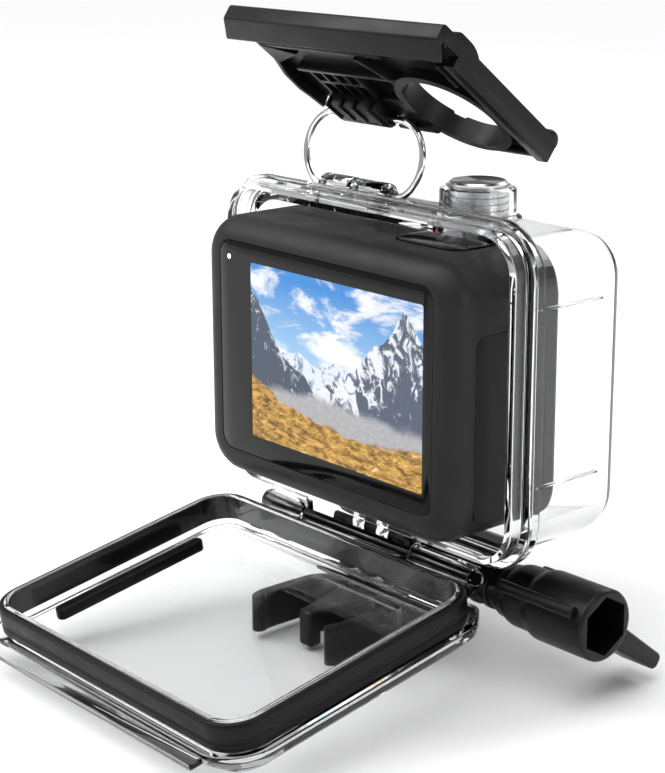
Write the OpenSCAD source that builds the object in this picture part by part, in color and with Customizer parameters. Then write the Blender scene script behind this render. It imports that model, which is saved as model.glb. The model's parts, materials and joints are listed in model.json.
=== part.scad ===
// Action camera, part-way out of its clear dive housing. The rear door hangs open,
// the top latch is lifted on its wire bail, and a quick-release buckle is clamped below.
// Row frame: origin on the buckle's flat base, straight under the clamp screw's axis;
// +X to the right seen from behind, +Y towards the lens, +Z up.

/* [Camera] */
// Width of the camera body
cam_w = 66.3; // [62:0.1:67]
// Height of the camera body
cam_h = 48.6; // [44:0.1:49]
// Depth of the camera body without its lens surround
cam_d = 24.2; // [20:0.1:24.5]
// Corner radius of the camera body seen from behind
cam_corner_r = 7.5; // [6:0.1:9]
// Radius of the rounded rear and front edges
cam_edge_r = 4.8; // [3:0.1:5]
// How far the lens surround stands in front of the body
lens_bump = 4.2; // [3:0.1:4.4]

/* [Housing] */
// Width of the clear housing's main body
case_w = 77.6; // [76:0.1:80]
// Height of the main body's roof above the camera's middle
case_top = 26.6; // [26.4:0.1:27]
// Depth of the main body's floor below the camera's middle
case_bottom = 27.4; // [27.2:0.1:28]
// Corner radius of the main body
case_r = 8.1; // [7:0.1:9]
// Front face of the main body, ahead of the camera's rear face
case_front = 36.2; // [36:0.1:38]
// Outside radius of the shutter turret
turret_r = 6.6; // [6:0.1:6.7]
// Radius of the steel shutter button
plunger_r = 5.1; // [4.5:0.1:5.2]

/* [Door] */
// Angle by which the rear door hangs open
door_open = 100.25; // [90:0.25:100.25]
// Half-width of the door's gasket
gasket_x = 35.4; // [35:0.1:35.6]
// Height of the door's gasket
gasket_h = 54.3; // [53:0.1:54.4]

/* [Latch] */
// Lean of the wire bail from upright
bail_lean = 11; // [0:1:16]
// Distance between the bail's two bars
bail_h = 13.8; // [13:0.1:14]
// Radius of the bail's wire
wire_r = 0.65; // [0.5:0.05:0.7]
// Slope of the open latch
latch_tilt = 38; // [30:1:40]
// Radius of the latch's hole for the turret
latch_hole_r = 9.5; // [9:0.1:9.6]

/* [Clamp] */
// Height of the clamp screw above the buckle's base
clamp_h = 14.8; // [14.8:0.1:16]
// Radius of the clamp's finger ends
finger_r = 7; // [6.5:0.1:7]
// Thickness of one clamp finger
finger_t = 3; // [2.8:0.1:3]
// Outer end of the clamp screw's knob, from the middle plane
knob_end = 50; // [46:0.5:54]

/* [Hidden] */
$fn = 48;

// Where the camera's rear face sits in the row frame; every module below works from there.
cam_rear = -20;
clamp_axis = [0, -cam_rear, -36.6];
cam_mid = clamp_h - clamp_axis[2];

// Camera
cam_x = cam_w / 2;
cam_z = cam_h / 2;
cam_wall = 2;
plate_t = 1.8;
camera_screw_x = [-28.2, 28.2];
camera_screw_z = 19.2;
camera_screw_r = 0.75;
camera_post_r = 2.1;
glass_x = [-27.5, 28.7];
glass_z = [-19, 20.4];
glass_t = 1;
screen_x = [-18.7, 26.4];
screen_z = [-15.2, 17.2];
lamp_at = [-24.7, 0, 17.3];
lamp_r = 0.45;
lens_x = -17.5;
lens_z = 6.5;
lens_r = 10.8;
shutter_x = [8.5, 24.5];
shutter_y = [9, 21];
shutter_key = [16.5, 15, 0];
key_top = cam_z + 0.3;
mark_at = [11.4, 17, 0];
mark_r = 0.8;
mode_y = 16.2;
mode_r = 4;

// Housing
case_x = case_w / 2;
cavity_x = 36;
cavity_z = [-24.8, 25.1];
collar_x = 37.7;
collar_z = [-28.6, 28.9];
mouth_z = [-27.4, 27.7];
collar_rear = 9.6;
collar_front = 15.2;
flange_x = 39.5;
flange_z = [-29.8, 30.1];
flange_y = [12, 14.6];
front_wall = 2.2;
port_r = 13.4;
port_front = 40.4;
port_screw_ring = 16.5;
port_screw_r = 0.8;
port_screw_head_r = 1.1;
turret = [12.8, 25.6, 0];
turret_top = 32;
bush_r = 5.6;
bush_floor = cavity_z[1] + 1.2;
plunger_top = 33;
plunger_head = 30.6;
stem_r = 1.3;
seal_r = 0.28;
hinge_y = 11.4;
hinge_z = -32.4;
knuckle_r = 2.2;
hinge_pin_r = 1.1;
running_gap = 0.06;
side_button = [0, 25.6, 0];
side_top = -case_x - 1.8;
side_bush_r = 3.6;
side_bush_floor = -cavity_x - 0.7;
side_head = -case_x - 0.2;
side_head_r = 3;
side_stem_r = 1.2;

// Bail, bracket and latch
bail_x = -10.1;
bail_y = 18;
bail_z = 28.7;
bail_w = 30.8;
bail_bar = bail_w - bail_h;
bracket_w = bail_bar - 0.4;
lever_x = [-26, 27];
lever_back = 25.8;
lever_up = 4.8;
lever_l = 34.8;
hole_u = 22.4;
hole_x = 13.6;

// Clamp
screw_r = 2.4;
screw_bore_r = screw_r + 0.06;
finger_gap = 0.15;
finger_pitch = finger_t + finger_gap;
finger_l = -case_bottom - clamp_axis[2];
knob_start = 30;
knob_r = 6.3;
neck_r = 3.9;
buckle_base = -clamp_h;
prong_reach = 27;

module at_camera() translate([0, cam_rear, cam_mid]) children();
module in_door() at_camera() translate([0, hinge_y, hinge_z]) rotate([door_open, 0, 0])
    translate([0, -hinge_y, -hinge_z]) children();
module in_bail() at_camera() translate([0, bail_y, bail_z]) rotate([-bail_lean, 0, 0]) children();
// The latch's own plane: x across, y from the hook towards the front, z up from its top face.
module in_latch() in_bail() translate([0, 0, bail_h]) rotate([bail_lean - latch_tilt, 0, 0])
    translate([0, -lever_back, lever_up]) children();
module at_clamp() at_camera() translate(clamp_axis) children();

module rod_x(x0, x1, r) translate([x0, 0, 0]) rotate([0, 90, 0]) cylinder(h = x1 - x0, r = r);
module rod_y(y0, y1, r) translate([0, y1, 0]) rotate([90, 0, 0]) cylinder(h = y1 - y0, r = r);
module rod_z(z0, z1, r) translate([0, 0, z0]) cylinder(h = z1 - z0, r = r);
module block(x, y, z) translate([x[0], y[0], z[0]]) cube([x[1] - x[0], y[1] - y[0], z[1] - z[0]]);
module slab_x(x0, x1) translate([x0, 0, 0]) rotate([90, 0, 90]) linear_extrude(height = x1 - x0) children();
module slab_y(y0, y1) translate([0, y1, 0]) rotate([90, 0, 0]) linear_extrude(height = y1 - y0) children();
module slab_z(z0, z1) translate([0, 0, z0]) linear_extrude(height = z1 - z0) children();

// A rectangle with true round corners, from its ranges in x and y.
module round_rect(x, y, r) {
    translate([x[0] + r, y[0]]) square([x[1] - x[0] - 2 * r, y[1] - y[0]]);
    translate([x[0], y[0] + r]) square([x[1] - x[0], y[1] - y[0] - 2 * r]);
    for (cx = [x[0] + r, x[1] - r], cy = [y[0] + r, y[1] - r]) translate([cx, cy]) circle(r = r);
}
module ring(outer, inner, h) difference() {
    cylinder(h = h, r = outer);
    translate([0, 0, -1]) cylinder(h = h + 2, r = inner);
}
module ring_y(y0, y1, outer, inner) translate([0, y1, 0]) rotate([90, 0, 0]) ring(outer, inner, y1 - y0);
module seal_ring(major, minor) rotate_extrude($fn = 64) translate([major, 0]) circle(r = minor, $fn = 24);

// ---- Housing -------------------------------------------------------------------------------

module housing_outline() round_rect([-case_x, case_x], [-case_bottom, case_top], case_r);
module cavity_outline() round_rect([-cavity_x, cavity_x], cavity_z, case_r - 2);

module case_walls() difference() {
    union() {
        slab_y(flange_y[0] + 0.4, case_front) housing_outline();
        slab_y(collar_rear, collar_front) round_rect([-collar_x, collar_x], collar_z, case_r);
        slab_y(flange_y[0], flange_y[1]) round_rect([-flange_x, flange_x], flange_z, case_r + 1.5);
    }
    slab_y(collar_rear - 1, collar_front - 0.2) round_rect([-cavity_x, cavity_x], mouth_z, case_r - 2);
    slab_y(collar_front - 1, case_front - front_wall) cavity_outline();
    translate([lens_x, 0, lens_z]) rod_y(case_front - front_wall - 1, case_front + 1, port_r - 1.6);
}
module lens_port() translate([lens_x, 0, lens_z]) ring_y(case_front - 1, port_front, port_r, port_r - 1.6);
module at_port_screws() for (a = [45 : 90 : 315])
    translate([lens_x + port_screw_ring * cos(a), 0, lens_z + port_screw_ring * sin(a)]) children();
module guide_ribs() for (side = [-1, 1], z = [-15, 15.5])
    block([side * 34.8 - 1.4, side * 34.8 + 1.4], [collar_front + 1, case_front - 1], [z - 0.5, z + 0.5]);
module turret_tower() translate(turret) rod_z(case_top - 1, turret_top, turret_r);
module side_tower() translate(side_button) rod_x(side_top, -case_x + 1, 4.6);
module bail_footing() block([-24, 0], [collar_front - 0.1, 21.6], [case_top - 1, case_top + 0.6]);

// One hinge lug: a round knuckle with a web that runs up into the rear collar.
module hinge_lug(x0, x1) slab_x(x0, x1) {
    translate([hinge_y, hinge_z]) circle(r = knuckle_r);
    polygon([[hinge_y - 1.2, hinge_z + 1.8], [hinge_y - 1.2, collar_z[0] + 0.6], [flange_y[1], flange_z[0] + 1],
        [hinge_y + knuckle_r, hinge_z]]);
}
// One long knuckle on the case turns between two on the door.
housing_lug = [-15.9, 12.9];
door_lugs = [[-28, -16.2], [13.2, 28]];

// Two clamp fingers hang from the floor of the case.
module case_finger(x0) translate(clamp_axis) slab_x(x0, x0 + finger_t) {
    circle(r = finger_r);
    translate([-finger_r, 0]) square([2 * finger_r, finger_l - 0.3]);
    translate([-4.9, 0]) square([finger_r + 4.9, finger_l + 1]);
}

module housing_shell() color([0.86, 0.9, 0.92, 0.35]) at_camera() difference() {
    union() {
        case_walls();
        lens_port();
        guide_ribs();
        turret_tower();
        side_tower();
        bail_footing();
        hinge_lug(housing_lug[0], housing_lug[1]);
        for (side = [-1, 1]) case_finger(side * finger_pitch - finger_t / 2);
    }
    translate(turret) rod_z(cavity_z[1] - 1, turret_top + 1, bush_r);
    translate(side_button) rod_x(side_top - 2, -cavity_x + 1, side_bush_r);
    translate([0, hinge_y, hinge_z]) rod_x(-40, 40, hinge_pin_r + 0.02);
    translate(clamp_axis) rod_x(-20, 20, screw_bore_r);
    at_port_screws() rod_y(case_front - 1.8, case_front + 1, port_screw_r);
}

module bail_bracket() color([0.86, 0.9, 0.92, 0.35]) at_camera() difference() {
    slab_x(bail_x - bracket_w / 2, bail_x + bracket_w / 2) {
        translate([bail_y, bail_z]) circle(r = 2.2);
        translate([bail_y - 2.2, case_top]) square([4.4, bail_z - case_top]);
        translate([bail_y - 2.6, case_top]) square([5.9, 1.6]);
    }
    translate([0, bail_y, bail_z]) rod_x(-40, 40, wire_r + 0.08);
    block([-40, 40], [bail_y - 5, bail_y + 5], [case_top - 3, case_top + 0.6]);
}

module lens_port_ring() color([0.08, 0.08, 0.085]) at_camera() difference() {
    translate([lens_x, 0, lens_z]) {
        ring_y(case_front, case_front + 1.6, port_r + 4.8, port_r + 0.01);
        ring_y(case_front, port_front + 1.2, port_r + 1.4, port_r + 0.01);
        ring_y(port_front, port_front + 1.2, port_r + 0.1, port_r - 3);
    }
    at_port_screws() rod_y(case_front - 1, case_front + 3, port_screw_r + 0.02);
}

module lens_port_window() color([0.8, 0.88, 0.9, 0.35]) at_camera() translate([lens_x, 0, lens_z])
    rod_y(port_front - 1.4, port_front, port_r - 1.6);

module lens_port_seal() color([0.05, 0.05, 0.05]) at_camera() translate([lens_x, port_front - 1.7, lens_z])
    rotate([90, 0, 0]) seal_ring(port_r - 2.1, 0.3);

module lens_port_screws() color([0.55, 0.56, 0.58]) at_camera()
    at_port_screws() {
        rod_y(case_front - 1.8, case_front + 1.7, port_screw_r);
        difference() {
            rod_y(case_front + 1.6, case_front + 2.4, port_screw_head_r);
            translate([0, case_front + 2, 0]) rotate([-90, 0, 0]) cylinder(h = 1, r = 0.6, $fn = 6);
        }
    }

// Steel bushes line the two button bores.
module plunger_bush() color([0.62, 0.63, 0.65]) at_turret() difference() {
    rod_z(cavity_z[1], turret_top + 0.2, bush_r);
    rod_z(bush_floor, turret_top + 1, plunger_r + running_gap);
    rod_z(cavity_z[1] - 1, turret_top, stem_r + running_gap);
}
module side_plunger_bush() color([0.62, 0.63, 0.65]) at_side_plunger() difference() {
    rod_x(side_top, -cavity_x, side_bush_r);
    rod_x(side_top - 2, side_bush_floor, side_head_r + running_gap);
    rod_x(-case_x, -cavity_x + 1, side_stem_r + running_gap);
}

module hinge_pin() color([0.12, 0.12, 0.13]) at_camera() translate([0, hinge_y, hinge_z])
    rod_x(-28.3, 28.3, hinge_pin_r);

// ---- Camera --------------------------------------------------------------------------------

// The camera's outside between two planes, with rounded edges at whichever ends are asked for.
module cam_block(y0, y1, rear_r, front_r) {
    corner = cam_corner_r;
    hull() for (sx = [-1, 1], sz = [-1, 1])
        translate([sx * (cam_x - corner), 0, sz * (cam_z - corner)]) rotate([90, 0, 0])
            rotate_extrude($fn = 48) intersection() {
                union() {
                    translate([0, -y1 + front_r]) square([corner, y1 - front_r - y0 - rear_r]);
                    translate([0, -y1]) square([corner - front_r, front_r + 0.1]);
                    translate([0, -y0 - rear_r - 0.1]) square([corner - rear_r, rear_r + 0.1]);
                    if (rear_r > 0) translate([corner - rear_r, -y0 - rear_r]) circle(r = rear_r, $fn = 40);
                    if (front_r > 0) translate([corner - front_r, -y1 + front_r]) circle(r = front_r, $fn = 40);
                }
                translate([0, -y1]) square([corner, y1 - y0]);
            }
}

// The four corner posts take the front plate's screws.
module at_camera_screws() for (x = camera_screw_x, z = [-1, 1] * camera_screw_z)
    translate([x, 0, z]) children();

module camera_body() color([0.2, 0.2, 0.21]) at_camera() difference() {
    cam_block(0, cam_d - plate_t, cam_edge_r, 0);
    difference() {
        slab_y(2.6, cam_d)
            round_rect([-cam_x + cam_wall, cam_x - cam_wall], [-cam_z + cam_wall, cam_z - cam_wall], 5.4);
        at_camera_screws() rod_y(2, cam_d, camera_post_r);
        translate(shutter_key) rod_z(cam_z - 3.6, cam_z, 2.4);
        translate([0, mode_y, 0]) rod_x(-cam_x, -cam_x + 3.7, 2.2);
    }
    at_camera_screws() rod_y(cam_d - 7, cam_d + 1, camera_screw_r + 0.02);
    slab_y(-1, glass_t + 0.05) round_rect(glass_x, glass_z, 3);
    slab_y(0, 4) round_rect(screen_x, screen_z, 0.6);
    slab_z(cam_z - 1.1, cam_z + 1) round_rect([shutter_x[0] - 0.25, shutter_x[1] + 0.25],
        [shutter_y[0] - 0.25, shutter_y[1] + 0.25], 3.2);
    translate(shutter_key) rod_z(cam_z - 2.6, cam_z + 1, 1.6);
    translate([0, mode_y, 0]) rod_x(-cam_x - 1, -cam_x + 1.2, mode_r + 0.2);
    translate([0, mode_y, 0]) rod_x(-cam_x - 1, -cam_x + 2.7, 1.4);
    slab_x(cam_x - 1.4, cam_x + 1) round_rect([5.4, 20.6], [-20, 12], 2);
    slab_x(cam_x - 4, cam_x + 1) round_rect([7.4, 18.6], [-18, 10], 1.5);
}

module camera_front_plate() color([0.17, 0.17, 0.18]) at_camera() difference() {
    cam_block(cam_d - plate_t, cam_d, 0, 1.7);
    translate([lens_x, 0, lens_z]) rod_y(cam_d - 4, cam_d + 1, 8.2);
    at_camera_screws() rod_y(cam_d - 4, cam_d + 1, camera_screw_r + 0.02);
}

module camera_front_screws() color([0.3, 0.3, 0.31]) at_camera()
    at_camera_screws() rod_y(cam_d - 6.5, cam_d - 0.2, camera_screw_r);

module rear_glass() color([0.02, 0.02, 0.025]) at_camera() difference() {
    slab_y(0.05, glass_t)
        round_rect([glass_x[0] + 0.1, glass_x[1] - 0.1], [glass_z[0] + 0.1, glass_z[1] - 0.1], 2.9);
    translate(lamp_at) rod_y(-1, 0.7, lamp_r);
}

module screen_panel() color([0.35, 0.5, 0.65]) at_camera()
    slab_y(glass_t, 2.4)
        round_rect([screen_x[0] + 0.1, screen_x[1] - 0.1], [screen_z[0] + 0.1, screen_z[1] - 0.1], 0.5);

module status_light() color([1, 0.95, 0.85]) at_camera() translate(lamp_at) rod_y(0, 0.7, lamp_r);

module lens_surround() color([0.06, 0.06, 0.065]) at_camera() translate([lens_x, 0, lens_z]) difference() {
    union() {
        rod_y(cam_d, cam_d + lens_bump - 1, lens_r);
        rod_y(cam_d, cam_d + lens_bump, lens_r - 0.8);
    }
    rod_y(cam_d - 1, cam_d + lens_bump - 1.2, 8.2);
    rod_y(cam_d, cam_d + lens_bump + 1, 9);
}

module lens_cover_glass() color([0.05, 0.06, 0.09, 0.6]) at_camera() translate([lens_x, 0, lens_z])
    rod_y(cam_d + lens_bump - 1.2, cam_d + lens_bump - 0.2, 8.95);

module lens_barrel() color([0.1, 0.1, 0.1]) at_camera() translate([lens_x, 0, lens_z]) {
    rod_y(7.4, 13, 7);
    rod_y(13, 20, 6);
    rod_y(20, cam_d + lens_bump - 2, 7.6);
}

module image_sensor() color([0.25, 0.3, 0.25]) at_camera()
    block([lens_x - 6, lens_x + 6], [6.4, 7.4], [lens_z - 5.5, lens_z + 5.5]);

module main_board() color([0.05, 0.25, 0.15]) at_camera()
    slab_y(4, 5) difference() {
        round_rect([-30, 29], [-21, 19], 3);
        for (x = camera_screw_x, z = [-1, 1] * camera_screw_z)
            translate([x, z]) circle(r = camera_post_r + 0.3);
    }

module processor_shield() color([0.7, 0.71, 0.72]) at_camera() block([-9, 5], [5, 6.4], [-10, 6]);

module battery() color([0.12, 0.12, 0.13]) at_camera()
    slab_y(8, 20) round_rect([-4.5, 25.5], [-20, 14.5], 1.5);

module battery_contacts() color([0.8, 0.65, 0.25]) at_camera()
    for (i = [-1 : 1]) block([8 + 4 * i, 10 + 4 * i], [5, 8], [8, 12]);

module speaker() color([0.3, 0.3, 0.31]) at_camera() translate([-17, 0, -12.5]) rod_y(5, 9, 6);

module usb_port() color([0.7, 0.71, 0.72]) at_camera() block([21, 29.2], [5, 7.4], [-16.4, -7.4]);

module memory_card() color([0.15, 0.15, 0.16]) at_camera() block([18, 29.2], [5, 6], [-5.6, 5.4]);

module side_door() color([0.16, 0.16, 0.17]) at_camera() {
    slab_x(cam_x - 1.35, cam_x) round_rect([5.5, 20.5], [-19.9, 11.9], 1.9);
    slab_x(cam_x - 2.2, cam_x - 1.35) round_rect([8, 18], [-17.4, 9.4], 1.2);
}

module side_door_seal() color([0.4, 0.4, 0.42]) at_camera() slab_x(cam_x - 2.2, cam_x - 1.4) difference() {
    round_rect([7.4, 18.6], [-18, 10], 1.5);
    round_rect([8, 18], [-17.4, 9.4], 1.2);
}

module shutter_button() color([0.03, 0.03, 0.03]) at_camera() difference() {
    union() {
        slab_z(cam_z - 0.1, key_top) round_rect(shutter_x, shutter_y, 3);
        translate(shutter_key) rod_z(cam_z - 1.6, cam_z, 1.5);
    }
    translate(mark_at) rod_z(key_top - 0.25, key_top + 1, mark_r);
}
module shutter_mark() color([0.8, 0.05, 0.05]) at_camera()
    translate(mark_at) rod_z(key_top - 0.25, key_top, mark_r);
module shutter_dome() color([0.7, 0.7, 0.72]) at_camera()
    translate(shutter_key) rod_z(cam_z - 2.6, cam_z - 1.6, 1.2);

module mode_button() color([0.1, 0.1, 0.1]) at_camera() translate([0, mode_y, 0]) {
    rod_x(-cam_x - 0.3, -cam_x + 0.2, mode_r);
    rod_x(-cam_x, -cam_x + 1.7, 1.3);
}
// Like the side spring, this dome is drawn pressed flat.
module mode_dome() color([0.7, 0.7, 0.72]) at_camera()
    translate([0, mode_y, 0]) rod_x(-cam_x + 2.2, -cam_x + 2.7, 1);

// ---- Buttons that reach through the housing ------------------------------------------------

module at_turret() at_camera() translate(turret) children();
module shutter_plunger() color([0.75, 0.75, 0.77]) at_turret() difference() {
    union() {
        rod_z(plunger_head, plunger_top, plunger_r);
        rod_z(cavity_z[1] - 0.25, plunger_head, stem_r);
    }
    translate([0, 0, plunger_head + 0.4]) ring(plunger_r + 1, plunger_r - 2 * seal_r, 2 * seal_r);
}
module plunger_clip() color([0.4, 0.4, 0.42]) at_turret()
    translate([0, 0, cavity_z[1] - 0.22]) ring(stem_r + 0.6, stem_r, 0.18);
module plunger_seal() color([0.05, 0.05, 0.05]) at_turret()
    translate([0, 0, plunger_head + 0.4 + seal_r]) seal_ring(plunger_r - seal_r + 0.02, seal_r);
module plunger_spring() color([0.6, 0.6, 0.62]) at_turret()
    translate([0, 0, bush_floor]) ring(4.4, 3, plunger_head - bush_floor);

module at_side_plunger() at_camera() translate(side_button) children();
module side_plunger() color([0.75, 0.75, 0.77]) at_side_plunger() difference() {
    union() {
        rod_x(side_head - 2.8, side_head, side_head_r);
        rod_x(side_head, -cavity_x + 2.2, side_stem_r);
    }
    translate([side_head - 0.3, 0, 0])
        rotate([0, -90, 0]) ring(side_head_r + 1, side_head_r - 2 * seal_r, 2 * seal_r);
}
module side_plunger_clip() color([0.4, 0.4, 0.42]) at_side_plunger() translate([-cavity_x + 0.1, 0, 0])
    rotate([0, 90, 0]) ring(side_stem_r + 0.8, side_stem_r, 0.3);
module side_plunger_seal() color([0.05, 0.05, 0.05]) at_side_plunger()
    translate([side_head - 0.3 - seal_r, 0, 0])
    rotate([0, 90, 0]) seal_ring(side_head_r - seal_r + 0.02, seal_r);
// The spring is drawn at its pressed length, so that its stand-in clears the bush's floor at full stroke.
module side_plunger_spring() color([0.6, 0.6, 0.62]) at_side_plunger() translate([side_head, 0, 0])
    rotate([0, 90, 0]) ring(2.8, 1.9, side_bush_floor - side_head - 0.9);

// ---- Rear door -----------------------------------------------------------------------------
// Built as if closed, then swung open about its hinge.

gasket_z = [hinge_z + 5.4, hinge_z + 5.4 + gasket_h];
door_flange = [hinge_y - 4, hinge_y - 2];
door_wall_end = hinge_y + 3.1;
door_floor = [hinge_y - 6.4, hinge_y - 4.6];
flange_reach = 1.5;
wall_in = 1;

module door_outline(grow, r) round_rect([-gasket_x - grow, gasket_x + grow],
    [gasket_z[0] - grow, gasket_z[1] + grow], r);

module door_panel() color([0.86, 0.9, 0.92, 0.35]) in_door() difference() {
    union() {
        slab_y(door_flange[0], door_flange[1]) door_outline(flange_reach, 8.2);
        slab_y(door_flange[0], door_wall_end) door_outline(-wall_in, 5.6);
        slab_y(door_floor[0], door_flange[1]) door_outline(-wall_in, 5.6);
        block([-31, 29], [hinge_y - 4, hinge_y - 2.8], [gasket_z[1] + 1, gasket_z[1] + 4]);
        for (lug = door_lugs) slab_x(lug[0], lug[1]) {
            translate([hinge_y, hinge_z]) circle(r = knuckle_r);
            polygon([[hinge_y - 3.9, gasket_z[0] + 0.4], [hinge_y - 2.2, gasket_z[0] - 0.4],
                [hinge_y - 2.2, hinge_z + knuckle_r + 1], [hinge_y, hinge_z + knuckle_r],
                [hinge_y - knuckle_r, hinge_z - 0.4]]);
        }
    }
    slab_y(door_floor[1], door_wall_end + 1) door_outline(-wall_in - 0.9, 4.8);
    translate([0, hinge_y, hinge_z]) rod_x(-40, 40, hinge_pin_r + running_gap);
}

module door_gasket() color([0.03, 0.03, 0.03]) in_door() slab_y(hinge_y - 2, hinge_y + 2.9) difference() {
    door_outline(0, 6.6);
    door_outline(-wall_in, 5.6);
}

module door_pads() color([0.04, 0.04, 0.04]) in_door()
    for (x = [[-32, -29.6], [29.6, 32]]) block(x, [door_floor[1], door_floor[1] + 2.2], [-17, 16]);

// ---- Bail and latch ------------------------------------------------------------------------

module bail_wire() color([0.8, 0.8, 0.82]) in_bail() translate([bail_x, 0, 0]) {
    for (z = [0, bail_h]) translate([0, 0, z]) rod_x(-bail_bar / 2, bail_bar / 2, wire_r);
    for (side = [0, 180]) translate([0, 0, bail_h / 2]) rotate([90, 0, 0]) rotate([0, 0, side])
        translate([bail_bar / 2, 0, 0]) rotate([0, 0, -90])
            rotate_extrude(angle = 180, $fn = 72) translate([bail_h / 2, 0]) circle(r = wire_r, $fn = 24);
}

// The hook beam's profile across its length: y forward, z up, from the top rear edge.
hook_profile = [[0, 0], [7.6, 0], [7.6, -2.4], [1.2, -2.4], [1.2, -5.8], [0.9, -5.8], [0, -3.9]];

module latch_lever() color([0.05, 0.05, 0.055]) in_latch() difference() {
    union() {
        slab_x(lever_x[0], lever_x[1]) polygon(hook_profile);
        slab_z(-2.2, 0) {
            translate([-22, 7]) square([26, 15.4]);
            translate([-16, 20]) square([12, 9.6]);
            translate([hole_x, hole_u]) circle(r = latch_hole_r + 1.5);
            translate([2, 7]) square([lever_x[1] - 2, 10]);
            translate([hole_x, hole_u]) square([lever_x[1] - hole_x, lever_l - hole_u]);
        }
        translate([hole_x, hole_u, -3.6]) cylinder(h = 2, r = latch_hole_r + 1.4);
        block([24.4, lever_x[1]], [6, lever_l], [-4.4, 0]);
        block([9, lever_x[1]], [lever_l - 1.6, lever_l], [-3.6, 0]);
        block([-22, -20.4], [7, 15], [-4, -2]);
    }
    translate([hole_x, hole_u, -9]) cylinder(h = 12, r = latch_hole_r);
    translate([bail_x, lever_back, -lever_up]) block([-6.3, 6.3], [-5, 4.2], [-5, lever_up - 1.2]);
}

// The ribbed clip that the bail's upper bar turns in.
module latch_clip() color([0.06, 0.06, 0.065]) in_latch()
    translate([bail_x, lever_back, -lever_up]) difference() {
    union() {
        block([-6.3, 6.3], [-5, 3.2], [-1.9, lever_up - 1.2]);
        rod_x(-6.3, 6.3, 1.9);
        for (i = [-2 : 2]) block([2.4 * i - 0.4, 2.4 * i + 0.4], [-5, -2], [-3.2, 0]);
    }
    rod_x(-40, 40, wire_r + 0.08);
}

// ---- Buckle and clamp screw ----------------------------------------------------------------

module buckle_finger(x0) slab_x(x0, x0 + finger_t) {
    circle(r = finger_r);
    translate([-finger_r, buckle_base + 2]) square([2 * finger_r, -(buckle_base + 2)]);
}

// Side prong: a springy arm with a rounded barb at its tip.
module prong(side) {
    x = side * 9.6;
    block([x - 1.5, x + 1.5], [-prong_reach + 2.4, -8], [buckle_base + 1.2, buckle_base + 6.6]);
    translate([x, -prong_reach + 2.4, buckle_base + 1.2]) cylinder(h = 7.4, r = 2.4);
}

module buckle() color([0.05, 0.05, 0.055]) at_clamp() difference() {
    union() {
        slab_z(buckle_base, buckle_base + 4)
            round_rect([-12.6, 12.6], [-10.5, 9.5], 2.5);
        slab_z(buckle_base + 4, buckle_base + 6.2)
            round_rect([-9.5, 9.5], [-9.5, 8.5], 2);
        for (i = [-1 : 1]) buckle_finger(2 * finger_pitch * i - finger_t / 2);
        for (side = [-1, 1]) prong(side);
        slab_z(buckle_base + 3, buckle_base + 7.6) polygon([[-4.5, -8], [4.5, -8], [3.2, -21], [-3.2, -21]]);
        block([-3.2, 3.2], [-23, -21], [buckle_base + 0.8, buckle_base + 7.6]);
        rod_x(-2 * finger_pitch - finger_t / 2 - 4.6, -2 * finger_pitch - finger_t / 2 + 0.1, 6);
    }
    rod_x(-30, 30, screw_bore_r);
    rotate([0, -90, 0]) translate([0, 0, 2 * finger_pitch + finger_t / 2]) cylinder(h = 9, r = 4.4, $fn = 6);
}

module clamp_nut() color([0.7, 0.7, 0.72]) at_clamp() rotate([0, -90, 0])
    translate([0, 0, 2 * finger_pitch + finger_t / 2]) difference() {
        cylinder(h = 4.4, r = 4.35, $fn = 6);
        translate([0, 0, -1]) cylinder(h = 7, r = screw_bore_r);
    }

neck_start = 2 * finger_pitch + finger_t / 2 + 0.15;
module wing(angle, reach) rotate([angle, 0, 0]) slab_x(knob_start + 1, knob_end - 2) polygon([[-1.3, 0],
    [-1.1, reach - 0.6], [-0.5, reach], [0.5, reach], [1.1, reach - 0.6], [1.3, 0]]);

module thumb_screw() color([0.05, 0.05, 0.055]) at_clamp() difference() {
    union() {
        rod_x(neck_start, knob_start + 1, neck_r);
        rod_x(knob_start, knob_end, knob_r);
        wing(60, 8.6);
        wing(-60, 8.6);
        wing(-126, knob_r + 0.6);
        rotate([-126, 0, 0]) slab_x(knob_end - 9, knob_end - 1.6) polygon([[-1.6, 0], [-1.1, 19.6], [-0.5, 20.2],
            [0.5, 20.2], [1.1, 19.6], [1.6, 0]]);
    }
    rod_x(0, knob_end - 11, screw_r + 0.01);
    translate([knob_end - 9, 0, 0]) rotate([0, 90, 0]) cylinder(h = 20, r = 5.3, $fn = 6);
}

module clamp_shaft() color([0.7, 0.7, 0.72]) at_clamp() rod_x(-11.4, knob_end - 11, screw_r);

housing_shell();
bail_bracket();
lens_port_ring();
lens_port_window();
lens_port_seal();
lens_port_screws();
plunger_bush();
side_plunger_bush();
hinge_pin();
camera_body();
camera_front_plate();
camera_front_screws();
rear_glass();
screen_panel();
status_light();
lens_surround();
lens_cover_glass();
lens_barrel();
image_sensor();
main_board();
processor_shield();
battery();
battery_contacts();
speaker();
usb_port();
memory_card();
side_door();
side_door_seal();
shutter_button();
shutter_mark();
shutter_dome();
mode_button();
mode_dome();
shutter_plunger();
plunger_clip();
plunger_seal();
plunger_spring();
side_plunger();
side_plunger_clip();
side_plunger_seal();
side_plunger_spring();
door_panel();
door_gasket();
door_pads();
bail_wire();
latch_lever();
latch_clip();
buckle();
clamp_nut();
thumb_screw();
clamp_shaft();
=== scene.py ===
"""Looks for an action camera that is part-way out of its clear dive housing.

Shapes are in millimetres, in a piece's own frame, and finish_piece turns them into the frame's metres. Materials,
lights and the camera are in metres.
"""
import json
import math

import bmesh
import bpy
from mathutils import Matrix, Vector


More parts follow.
